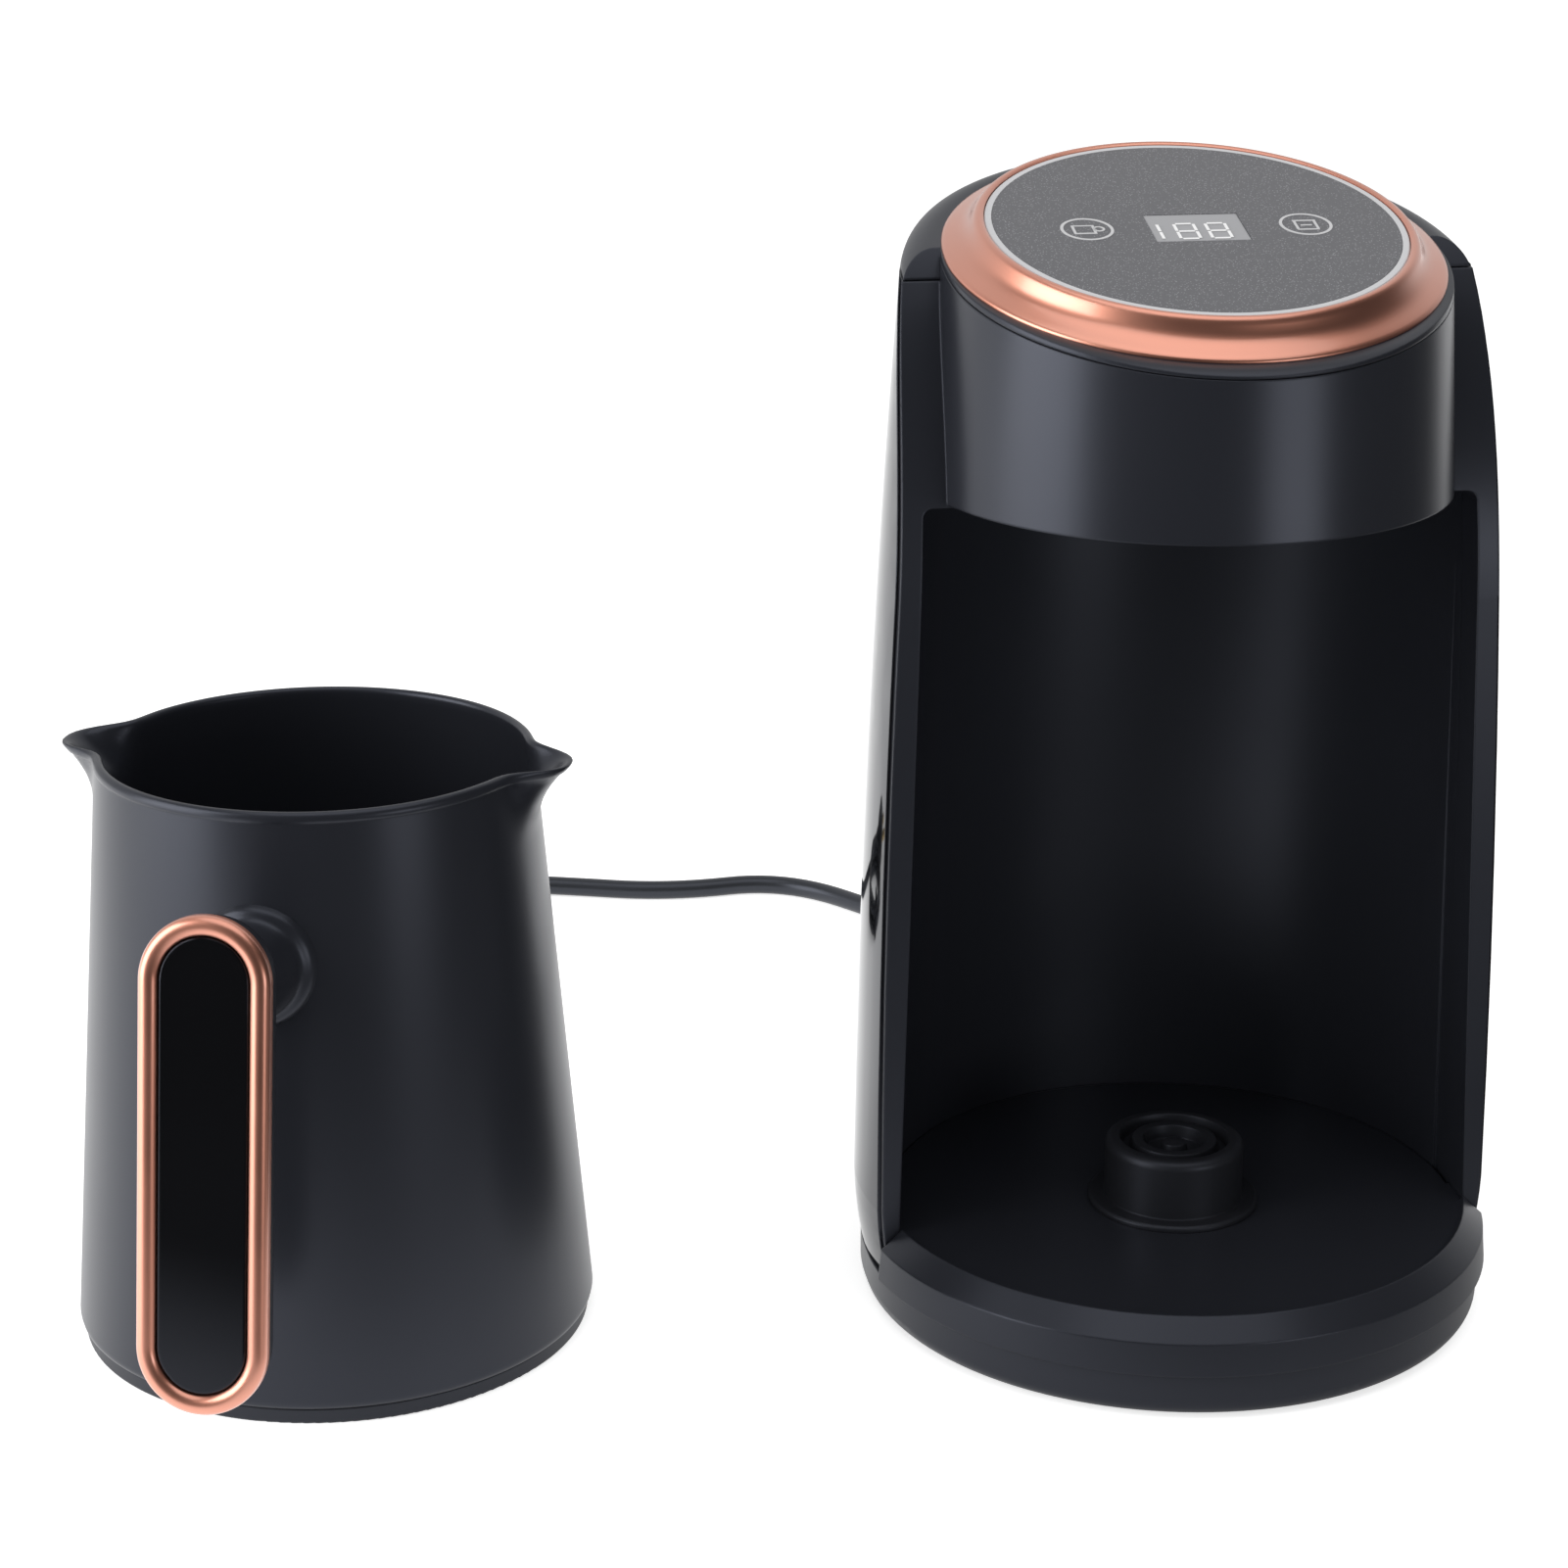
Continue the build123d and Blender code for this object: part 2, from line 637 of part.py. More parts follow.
# Wire bundle up the back of the dock wall, from the supply board to the head
HARNESS = [
    (20, 62, BOARD_LOW + BOARD_T + 2.3),
    (20, 79.8, BOARD_LOW + BOARD_T + 2.4),
    (20, 78.4, 120),
    (20, 74.6, 228),
    (20, 34, 250),
    (20, 30, 258),
]
write(tube(HARNESS, [6, 200, 12, 4], 4.2, "wire_harness"), "wire_harness")

# Cord bush: flange and neck through the shell, then a ribbed taper
SHELL_BACK_Y = CASE_Y + sqrt((CASE_FOOT_R - 0.35) ** 2 - CORD_X**2)
with BuildPart() as cord_bush:
    with BuildSketch(Plane((CORD_X, SHELL_BACK_Y - SHELL_WALL - 3.4, CORD_EXIT_Z), z_dir=(0, 1, 0))):
        Circle(7.5)
    extrude(amount=1.6)
    with BuildSketch(Plane((CORD_X, SHELL_BACK_Y - SHELL_WALL - 1.8, CORD_EXIT_Z), z_dir=(0, 1, 0))):
        Circle(5.2)
    extrude(amount=SHELL_WALL + 2.6)
    with BuildSketch(Plane((CORD_X, SHELL_BACK_Y + 0.8, CORD_EXIT_Z), z_dir=(0, 1, 0))):
        Circle(6.4)
    extrude(amount=2.0)
    taper_start = SHELL_BACK_Y + 2.8
    with BuildSketch(Plane((CORD_X, taper_start, CORD_EXIT_Z), z_dir=(0, 1, 0))):
        Circle(5.6)
    with BuildSketch(Plane((CORD_X, GLAND_END_Y, CORD_EXIT_Z), z_dir=(0, 1, 0))):
        Circle(CORD_D / 2 + 0.9)
    loft()
write(cord_bush.part, "cord_bush")

# Free stretch of the mains cord: out of the bush, down to the table, back and then left behind the jug
CORD_R = CORD_D / 2
CORD_ROUTE = [
    (CORD_X, GLAND_END_Y, CORD_EXIT_Z),
    (CORD_X, 142, CORD_EXIT_Z),
    (7, 168, 9.5),
    (8, 200, CORD_R),
    (-3, 236, CORD_R),
    (-26, 272, CORD_R),
    (-58, 313, CORD_R),
    (-99, 306, CORD_R),
    (-136, 318, CORD_R),
    (-172, COIL_AT[1] + COIL_R_OUT, COIL_LOW_Z),
    (COIL_AT[0] + CORD_D, COIL_AT[1] + COIL_R_OUT, COIL_LOW_Z),
]


def free_radii(points):
    """Largest arc for each corner: 0.45 of the shorter run over the tangent of half the turn."""
    radii = []
    for before, corner, after in zip(points, points[1:], points[2:]):
        first = Vector(*corner) - Vector(*before)
        second = Vector(*after) - Vector(*corner)
        half_turn = radians(first.get_angle(second)) / 2
        radii.append(0.45 * min(first.length, second.length) / tan(half_turn))
    return radii


CORD_RADII = free_radii(CORD_ROUTE)
print("cord radii", [round(r) for r in CORD_RADII])
write(tube(CORD_ROUTE, CORD_RADII, CORD_D, "mains_cord"), "mains_cord")


def coil_station(turn, layer):
    """Point and direction on the coil after some turns of its spiral, counted from the outside."""
    angle = pi / 2 + 2 * pi * turn
    along = turn if layer == 0 else 2 * COIL_TURNS + 0.5 - turn
    radius = COIL_R_OUT - COIL_PITCH * along
    place = Vector(
        COIL_AT[0] + radius * cos(angle),
        COIL_AT[1] + radius * sin(angle),
        COIL_LOW_Z + COIL_RISE * layer,
    )
    return place, Vector(-sin(angle), cos(angle), 0)


def biarc(start, start_way, end, end_way):
    """Two tangent arcs from one station to the next."""
    chord = end - start
    ways = start_way + end_way
    spread = 2 * (1 - start_way.dot(end_way))
    reach = (sqrt(chord.dot(ways) ** 2 + spread * chord.dot(chord)) - chord.dot(ways)) / spread
    middle = (start + start_way * reach + end - end_way * reach) * 0.5
    first = TangentArc(start, middle, tangent=start_way)
    TangentArc(middle, end, tangent=first % 1)


# Put-away coil: spiral in on the table, climb in the half turn where it reverses, spiral out on top
QUARTERS = round(4 * COIL_TURNS)
STATIONS = [coil_station(q / 4, 0) for q in range(QUARTERS + 1)]
crest, crest_way = coil_station(COIL_TURNS + 0.25, 0)
STATIONS.append((crest + Vector(0, 0, COIL_RISE / 2), (crest_way + Vector(0, 0, 0.12)).normalized()))
STATIONS += [coil_station(COIL_TURNS + 0.5 + q / 4, 1) for q in range(QUARTERS + 1)]
with BuildPart() as cord_coil:
    with BuildLine() as coil_path:
        lead_in = STATIONS[0][0] - STATIONS[0][1] * CORD_D
        Line(lead_in, STATIONS[0][0])
        for here, there in zip(STATIONS, STATIONS[1:]):
            biarc(*here, *there)
        coil_end = STATIONS[-1][0] + STATIONS[-1][1] * 2 * CORD_D
        Line(STATIONS[-1][0], coil_end)
    coil_wire = coil_path.wires()[0]
    with BuildSketch(Plane(coil_wire @ 0, z_dir=coil_wire % 0)):
        Circle(CORD_R)
    sweep(path=coil_wire)
write(cord_coil.part, "cord_coil")

SAMPLES = 400
coil_points = [coil_wire @ (i / SAMPLES) for i in range(SAMPLES + 1)]
skip = int(1.6 * CORD_D / coil_wire.length * SAMPLES) + 1
coil_gap = min(
    (a - b).length for i, a in enumerate(coil_points) for b in coil_points[i + skip :]
) - CORD_D
print(f"coil: length {coil_wire.length:.0f}, least gap to itself {coil_gap:.2f}")

# Tie round the coil's bundle
COIL_TOP_Z = COIL_LOW_Z + COIL_RISE + CORD_R
TIE_T = 1.0
TIE_IN = COIL_R_OUT - COIL_PITCH * (COIL_TURNS + 0.25) - CORD_R - 0.6
TIE_OUT = COIL_R_OUT - COIL_PITCH * 0.5 + CORD_R + 0.6
TIE_TOP = COIL_TOP_Z + 0.3
with BuildPart() as coil_tie:
    tie_y = COIL_AT[1] - (TIE_IN + TIE_OUT) / 2
    with BuildSketch(Plane((COIL_AT[0], tie_y, (TIE_TOP + TIE_T) / 2 + 0.1), x_dir=(0, 1, 0), z_dir=(1, 0, 0))):
        RectangleRounded(TIE_OUT - TIE_IN + 2 * TIE_T, TIE_TOP + TIE_T, 2.6)
        RectangleRounded(TIE_OUT - TIE_IN, TIE_TOP - TIE_T, 1.6, mode=Mode.SUBTRACT)
    extrude(amount=4, both=True)
write(coil_tie.part, "coil_tie")

# Two-pin moulded plug lying flat beside the coil
PLUG_AT = coil_end
PLUG_WAY = STATIONS[-1][1]
PLUG = Plane(PLUG_AT, x_dir=(-PLUG_WAY.Y, PLUG_WAY.X, 0), z_dir=PLUG_WAY)
with BuildPart() as plug_body:
    with BuildSketch(PLUG):
        Circle(CORD_R + 1.0)
    with BuildSketch(PLUG.offset(16)):
        Circle(CORD_R + 2.2)
    loft()
    with BuildSketch(PLUG.offset(16)):
        RectangleRounded(20, 13, 5)
    with BuildSketch(PLUG.offset(34)):
        RectangleRounded(34, PLUG_T, 8)
    loft()
    with BuildSketch(PLUG.offset(34)):
        RectangleRounded(34, PLUG_T, 8)
    extrude(amount=9)
write(plug_body.part, "plug_body")

with BuildPart() as plug_pins:
    with BuildSketch(PLUG.offset(43)):
        with Locations((-PIN_SPACING / 2, 0), (PIN_SPACING / 2, 0)):
            Circle(PIN_D / 2)
    extrude(amount=PIN_L)
    fillet(plug_pins.faces().sort_by(Axis(PLUG.origin, PLUG.z_dir))[-2:].edges(), 1.0)
write(plug_pins.part, "plug_pins")


def jug_outline(z, inset):
    """Closed plan of the jug at a height: a circle, slightly oval upwards, with two pouring spouts at the rim."""
    plain = JUG_LOW_R + (JUG_RIM_R - JUG_LOW_R) * (z - JUG_LOW_Z) / (JUG_RIM_Z - JUG_LOW_Z) - inset
    rise = max(0.0, (z - SPOUT_START_Z) / (JUG_RIM_Z - SPOUT_START_Z))
    reach = SPOUT_REACH * rise**1.5
    oval = JUG_OVAL * (z - JUG_LOW_Z) / (JUG_RIM_Z - JUG_LOW_Z)
    quarter = [90 * (step / SPOUT_STEPS) ** 1.8 for step in range(SPOUT_STEPS)]
    half = quarter + [90] + [180 - degrees for degrees in reversed(quarter[1:])]
    points = []
    for degrees in half + [180 + degrees for degrees in half]:
        off_axis = min(degrees % 180, 180 - degrees % 180)
        radius = plain + oval * cos(radians(degrees)) ** 2 + reach * exp(-((off_axis / SPOUT_HALF_DEG) ** 2))
        points.append((radius * cos(radians(degrees)), radius * sin(radians(degrees))))
    return points


def jug_solid(inset):
    """Solid inside the jug's skin, drawn in by inset: a plain cone, then level by level up the spouts."""
    step = (JUG_RIM_Z - SPOUT_START_Z) / SPOUT_LEVELS
    with BuildPart() as body:
        for z in [JUG_LOW_Z] + [SPOUT_START_Z + step * level for level in range(SPOUT_LEVELS + 1)]:
            with BuildSketch(Plane.XY.offset(z)):
                with BuildLine():
                    Spline(*jug_outline(z, inset), periodic=True)
                make_face()
        loft(ruled=True)
    return body.part


# Jug shell: one-piece plastic wall with spouts, an inside ledge for the heater, and the handle's neck
JUG_OUTER = jug_solid(0)
JUG_INNER = jug_solid(JUG_WALL)
HANDLE_LEAN = Vector(0, HANDLE_LOW[0] - HANDLE_TOP[0], HANDLE_LOW[1] - HANDLE_TOP[1])
HANDLE_L = HANDLE_LEAN.length
HANDLE_UP = HANDLE_LEAN * (-1 / HANDLE_L)
PADDLE = Plane(
    origin=(0, (HANDLE_TOP[0] + HANDLE_LOW[0]) / 2, (HANDLE_TOP[1] + HANDLE_LOW[1]) / 2),
    x_dir=(1, 0, 0),
    z_dir=(0, -HANDLE_UP.Z, HANDLE_UP.Y),
)
NECK_FACE_Y = HANDLE_TOP[0] + (HANDLE_LOW[0] - HANDLE_TOP[0]) * (HANDLE_TOP[1] - NECK_Z) / (
    HANDLE_TOP[1] - HANDLE_LOW[1]
)
NECK_END_Y = NECK_FACE_Y + HANDLE_T - 4.5
WALL_AT_NECK = -(JUG_LOW_R + (JUG_RIM_R - JUG_LOW_R) * (NECK_Z - JUG_LOW_Z) / (JUG_RIM_Z - JUG_LOW_Z))
RIM_DIP = [
    (JUG_RIM_R - 4, JUG_RIM_Z),
    (JUG_RIM_R + 14, JUG_RIM_Z - SPOUT_DIP * 1.3),
    (JUG_RIM_R + 14, JUG_RIM_Z + 9),
    (JUG_RIM_R - 4, JUG_RIM_Z + 9),
]
with BuildPart() as jug_ledge:
    with BuildSketch(Plane.XY.offset(JUG_LEDGE_Z - 2.4)):
        Circle(JUG_LOW_R - 3)
        Circle(54, mode=Mode.SUBTRACT)
    extrude(amount=2.4)

with BuildPart() as jug_shell:
    add(JUG_OUTER)
    with BuildSketch(Plane.YZ):
        with BuildLine():
            Polyline((WALL_AT_NECK + 4, NECK_Z), (WALL_AT_NECK + 4, NECK_Z + NECK_ROOT_R))
            ThreePointArc(
                (WALL_AT_NECK + 4, NECK_Z + NECK_ROOT_R),
                (WALL_AT_NECK - 2, NECK_Z + NECK_R + 2.6),
                (WALL_AT_NECK - 9, NECK_Z + NECK_R),
            )
            Polyline(
                (WALL_AT_NECK - 9, NECK_Z + NECK_R),
                (NECK_END_Y, NECK_Z + NECK_R),
                (NECK_END_Y, NECK_Z),
                (WALL_AT_NECK + 4, NECK_Z),
            )
        make_face()
    revolve(axis=Axis((0, 0, NECK_Z), (0, 1, 0)))
    add(JUG_INNER, mode=Mode.SUBTRACT)
    add(jug_ledge.part)
    with BuildSketch(Plane.XZ):
        with Locations((0, 0)):
            Polygon(*RIM_DIP, align=None)
            mirror(about=Plane.YZ)
    extrude(amount=30, both=True, mode=Mode.SUBTRACT)
write(jug_shell.part.moved(JUG), "jug_shell")

# Heater stack under the jug's floor
with BuildPart() as heater_seal:
    with BuildSketch(Plane.XY.offset(JUG_LEDGE_Z)):
        Circle(59.5)
        Circle(54.5, mode=Mode.SUBTRACT)
    extrude(amount=1.8)
write(heater_seal.part.moved(JUG), "heater_seal")

PLATE_Z = JUG_LEDGE_Z + 1.8
with BuildPart() as heater_plate:
    with BuildSketch(Plane.XY.offset(PLATE_Z)):
        Circle(59.5)
    extrude(amount=1.2)
write(heater_plate.part.moved(JUG), "heater_plate")

with BuildPart() as heating_element:
    with BuildSketch(Plane((38, 0, PLATE_Z - 3.4), x_dir=(1, 0, 0), z_dir=(0, 1, 0))):
        Circle(3.3)
    revolve(axis=Axis.Z, revolution_arc=320)
    with BuildSketch(Plane.XY.offset(PLATE_Z - 3.4)):
        with Locations((38, 0), (38 * cos(radians(320)), 38 * sin(radians(320)))):
            Circle(2.2)
    extrude(amount=-10)
write(heating_element.part.moved(JUG), "heating_element")

with BuildPart() as temperature_sensor:
    with BuildSketch(Plane.XY.offset(PLATE_Z)):
        with Locations((0, 24)):
            Circle(5)
    extrude(amount=-3)
    with BuildSketch(Plane.XY.offset(PLATE_Z - 3)):
        with Locations((0, 24)):
            Circle(7)
    extrude(amount=-3)
write(temperature_sensor.part.moved(JUG), "temperature_sensor")

# Jug socket: round bush with a blind bore that drops over the dock's connector
with BuildPart() as jug_socket:
    with BuildSketch(Plane.XZ):
        Polygon(
            (SOCKET_R, 0.6),
            (SOCKET_R, SOCKET_DEPTH),
            (0, SOCKET_DEPTH),
            (0, SOCKET_DEPTH + 2.4),
            (SOCKET_OUT_R, SOCKET_DEPTH + 2.4),
            (SOCKET_OUT_R, 0.6),
            align=None,
        )
    revolve(axis=Axis.Z)
write(jug_socket.part.moved(JUG), "jug_socket")

with BuildPart() as socket_tabs:
    with BuildSketch(Plane.XY.offset(SOCKET_DEPTH + 2.4)):
        with Locations((-9, 0), (0, -8), (9, 0)):
            Rectangle(4.8, 0.8)
    extrude(amount=5)
write(socket_tabs.part.moved(JUG), "socket_tabs")

JUG_SCREW_R = 46.0
with BuildPart() as jug_base:
    with BuildSketch(Plane.XY):
        Circle(JUG_BASE_R)
        Circle(SOCKET_OUT_R + 0.2, mode=Mode.SUBTRACT)
    extrude(amount=JUG_BASE_T)
    fillet(jug_base.edges().group_by(Axis.Z)[0].sort_by(SortBy.RADIUS)[-1], 0.7)
    with BuildSketch(Plane.XY.offset(JUG_BASE_T)):
        Circle(SOCKET_OUT_R + 2.4)
        Circle(SOCKET_OUT_R + 0.2, mode=Mode.SUBTRACT)
        with PolarLocations(JUG_SCREW_R, 3, start_angle=90):
            Circle(4)
    extrude(amount=3.4)
    with BuildSketch(Plane.XY):
        with PolarLocations(JUG_SCREW_R, 3, start_angle=90):
            Circle(1.9)
    extrude(amount=8, mode=Mode.SUBTRACT)
    with BuildSketch(Plane.XY):
        with PolarLocations(JUG_SCREW_R, 3, start_angle=90):
            Circle(3.2)
    extrude(amount=1.6, mode=Mode.SUBTRACT)
write(jug_base.part.moved(JUG), "jug_base")

with BuildPart() as jug_screws:
    with BuildSketch(Plane.XY.offset(0.2)):
        with PolarLocations(JUG_SCREW_R, 3, start_angle=90):
            Circle(2.9)
    extrude(amount=1.4)
    with BuildSketch(Plane.XY.offset(1.6)):
        with PolarLocations(JUG_SCREW_R, 3, start_angle=90):
            Circle(1.5)
    extrude(amount=PLATE_Z - 1.6)
write(jug_screws.part.moved(JUG), "jug_screws")

# Handle: hollow-backed grip, rose-gold frame and gloss inlay
with BuildPart() as handle_grip:
    with BuildSketch(PADDLE.offset(-3.4)):
        SlotOverall(HANDLE_L - 2, HANDLE_W - 2, rotation=90)
    extrude(amount=3.4 - HANDLE_T)
    fillet(handle_grip.faces().sort_by(Axis(PADDLE.origin, PADDLE.z_dir))[0].edges(), 6)
    with BuildSketch(PADDLE.offset(-3.4)):
        SlotOverall(HANDLE_L - 2 * HANDLE_BAR - 0.6, HANDLE_W - 2 * HANDLE_BAR - 0.6, rotation=90)
    extrude(amount=1.2)
    with BuildSketch(Plane((0, NECK_END_Y, NECK_Z), z_dir=(0, 1, 0))):
        Circle(NECK_R + 0.05)
    extrude(amount=HANDLE_T, mode=Mode.SUBTRACT)
    with BuildSketch(Plane((0, NECK_END_Y + 5, NECK_Z), z_dir=(0, 1, 0))):
        Circle(2.2)
    extrude(amount=-20, mode=Mode.SUBTRACT)
write(handle_grip.part.moved(JUG), "handle_grip")

with BuildPart() as handle_frame:
    with BuildSketch(PADDLE.offset(-3.3)):
        SlotOverall(HANDLE_L, HANDLE_W, rotation=90)
        SlotOverall(HANDLE_L - 2 * HANDLE_BAR, HANDLE_W - 2 * HANDLE_BAR, rotation=90, mode=Mode.SUBTRACT)
    extrude(amount=3.8)
    fillet(handle_frame.faces().sort_by(Axis(PADDLE.origin, PADDLE.z_dir))[-1].edges(), 1.7)
write(handle_frame.part.moved(JUG), "handle_frame")

with BuildPart() as handle_inlay:
    with BuildSketch(PADDLE.offset(-2.1)):
        SlotOverall(HANDLE_L - 2 * HANDLE_BAR - 0.3, HANDLE_W - 2 * HANDLE_BAR - 0.3, rotation=90)
    extrude(amount=1.4)
    fillet(handle_inlay.faces().sort_by(Axis(PADDLE.origin, PADDLE.z_dir))[-1].edges(), 0.5)
write(handle_inlay.part.moved(JUG), "handle_inlay")
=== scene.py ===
"""Looks of a hot-milk and coffee maker: dock unit with a touch head, and its cordless jug."""

from __future__ import annotations

import json
import logging
import math
from dataclasses import dataclass, field
from enum import Enum
from typing import Callable

import bmesh
import bpy
from mathutils import Matrix, Vector

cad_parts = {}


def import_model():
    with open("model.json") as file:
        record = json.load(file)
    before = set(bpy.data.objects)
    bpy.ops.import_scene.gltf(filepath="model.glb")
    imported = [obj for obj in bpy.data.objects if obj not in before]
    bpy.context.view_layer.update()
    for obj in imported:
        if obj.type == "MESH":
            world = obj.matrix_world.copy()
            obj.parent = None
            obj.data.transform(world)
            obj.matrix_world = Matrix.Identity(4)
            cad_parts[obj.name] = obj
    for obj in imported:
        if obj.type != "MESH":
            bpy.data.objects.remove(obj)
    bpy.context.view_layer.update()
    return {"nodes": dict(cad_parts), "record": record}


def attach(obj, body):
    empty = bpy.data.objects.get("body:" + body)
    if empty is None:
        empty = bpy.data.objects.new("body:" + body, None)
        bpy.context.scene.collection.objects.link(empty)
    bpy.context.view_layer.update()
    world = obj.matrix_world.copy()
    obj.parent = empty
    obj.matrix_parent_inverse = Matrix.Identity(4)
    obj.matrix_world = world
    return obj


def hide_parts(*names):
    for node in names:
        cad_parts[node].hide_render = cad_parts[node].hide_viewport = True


LOG = logging.getLogger("drink_maker")
DOCK = "dock"
JUG = "jug"
JUG_PLACE = (-216.5, 16.5)
JUG_TURN_DEG = -17.4
MM = 0.001
MERGE = 1e-6
SHARP_DEG = 42.0
EDGE_SAMPLES = 6
NOISE_SPAN = (0.3, 0.7)
WHITE = (1.0, 1.0, 1.0, 1.0)
Pair = tuple[float, float]
Point = tuple[float, float, float]
Bar = tuple[float, float, float, float]
Rule = Callable[[float], Point]
Paints = dict[str, bpy.types.Material]


def ramp(
    tree: bpy.types.NodeTree,
    value: bpy.types.NodeSocket,
    span: Pair = (0.0, 1.0),
    result: Pair = (0.0, 1.0),
    smooth: bool = False,
) -> bpy.types.Node:
    """Map a value from one range to another.

    Args:
        tree: Node tree that gets the node.
        value: Value to map.
        span: Range of the value.
        result: Range of the result.
        smooth: Whether the change eases in and out.

    Returns:
        The node, whose ends may be linked.
    """
    node = tree.nodes.new("ShaderNodeMapRange")
    if smooth:
        node.interpolation_type = "SMOOTHSTEP"
    node.inputs["From Min"].default_value, node.inputs["From Max"].default_value = span
    node.inputs["To Min"].default_value, node.inputs["To Max"].default_value = result
    tree.links.new(value, node.inputs["Value"])
    return node


def blend(
    tree: bpy.types.NodeTree, value: bpy.types.NodeSocket, first: Point, second: Point
) -> bpy.types.NodeSocket:
    """Mix two colours by a value.

    Args:
        tree: Node tree that gets the node.
        value: Mixing value from 0 to 1.
        first: Colour at 0.
        second: Colour at 1.

    Returns:
        The mixed colour's socket.
    """
    node = tree.nodes.new("ShaderNodeMix")
    node.data_type = "RGBA"
    node.inputs[6].default_value = (*first, 1)
    node.inputs[7].default_value = (*second, 1)
    tree.links.new(value, node.inputs[0])
    return node.outputs[2]


def shade(colour: Point, factor: float) -> Point:
    """Make a colour lighter or darker.

    Args:
        colour: Colour to change.
        factor: Brightness factor.

    Returns:
        The new colour, at most white.
    """
    return tuple(min(1.0, factor * part) for part in colour)


class Gloss(Enum):
    """How a plastic's surface is finished in the mould, as its roughness."""

    SOFT = 0.45
    MATTE = 0.31
    SATIN = 0.30
    POLISHED = 0.05


@dataclass(frozen=True)
class Finish:
    """Shared node steps of all finishes."""

    name: str

    def start(self) -> tuple[bpy.types.Material, bpy.types.NodeTree, bpy.types.Node]:
        """Make an empty node material.

        Returns:
            The material, its node tree and its shader node.
        """
        material = bpy.data.materials.new(self.name)
        material.use_nodes = True
        tree = material.node_tree
        return material, tree, tree.nodes["Principled BSDF"]

    def noise(self, tree: bpy.types.NodeTree, scale: float, detail: float = 2.0) -> bpy.types.NodeSocket:
        """Noise on the piece's own coordinates.

        Args:
            tree: Node tree that gets the nodes.
            scale: Noise scale per metre.
            detail: Octaves of the noise.

        Returns:
            The noise's value socket.
        """
        where = tree.nodes.new("ShaderNodeTexCoord")
        texture = tree.nodes.new("ShaderNodeTexNoise")
        texture.inputs["Scale"].default_value = scale
        texture.inputs["Detail"].default_value = detail
        tree.links.new(where.outputs["Object"], texture.inputs["Vector"])
        return texture.outputs["Fac"]

    def vary(
        self, tree: bpy.types.NodeTree, value: bpy.types.NodeSocket, middle: float, share: float
    ) -> bpy.types.NodeSocket:
        """Let a number vary with a noise value.

        Args:
            tree: Node tree that gets the node.
            value: Noise value from 0 to 1.
            middle: Number at the noise's middle.
            share: Share of the number by which it falls and rises.

        Returns:
            The number's socket.
        """
        ends = ((1 - share) * middle, (1 + share) * middle)
        return ramp(tree, value, NOISE_SPAN, ends).outputs["Result"]

    def bump(
        self,
        tree: bpy.types.NodeTree,
        value: bpy.types.NodeSocket,
        strength: float,
        depth: float,
        edge: float = 0.0,
    ) -> bpy.types.NodeSocket:
        """Turn a value into a bumped normal, with edges that are broken as a mould breaks them.

        Args:
            tree: Node tree that gets the nodes.
            value: Height from 0 to 1.
            strength: Share of the bump that is used.
            depth: Height of the bump in metres.
            edge: Radius of the broken edges in metres.

        Returns:
            The normal's socket.
        """
        node = tree.nodes.new("ShaderNodeBump")
        node.inputs["Strength"].default_value = strength
        node.inputs["Distance"].default_value = depth
        tree.links.new(value, node.inputs["Height"])
        if edge > 0:
            round_off = tree.nodes.new("ShaderNodeBevel")
            round_off.samples = EDGE_SAMPLES
            round_off.inputs["Radius"].default_value = edge
            tree.links.new(round_off.outputs["Normal"], node.inputs["Normal"])
        return node.outputs["Normal"]


@dataclass(frozen=True)
class Plastic(Finish):
    """Moulded plastic with a fine skin."""

    colour: Point = (0.02, 0.02, 0.02)
    gloss: Gloss = Gloss.MATTE
    grain: float = 0.12
    grain_scale: float = 2600.0
    grain_depth: float = 0.00005
    cloud_scale: float = 14.0
    cloud_tones: Pair = (0.9, 1.1)
    cloud_gloss: float = 0.07
    edge: float = 0.0007
    sheen_tint: Point = (0.78, 0.83, 1.0)

    def build(self) -> bpy.types.Material:
        """Make the material.

        Returns:
            The node material.
        """
        material, tree, shader = self.start()
        cloud = self.noise(tree, self.cloud_scale)
        skin = self.noise(tree, self.grain_scale, 1.0)
        dark, light = (shade(self.colour, tone) for tone in self.cloud_tones)
        rough = self.vary(tree, cloud, self.gloss.value, self.cloud_gloss)
        normal = self.bump(tree, skin, self.grain, self.grain_depth, self.edge)
        shader.inputs["Specular Tint"].default_value = (*self.sheen_tint, 1)
        tree.links.new(blend(tree, cloud, dark, light), shader.inputs["Base Color"])
        tree.links.new(rough, shader.inputs["Roughness"])
        tree.links.new(normal, shader.inputs["Normal"])
        return material


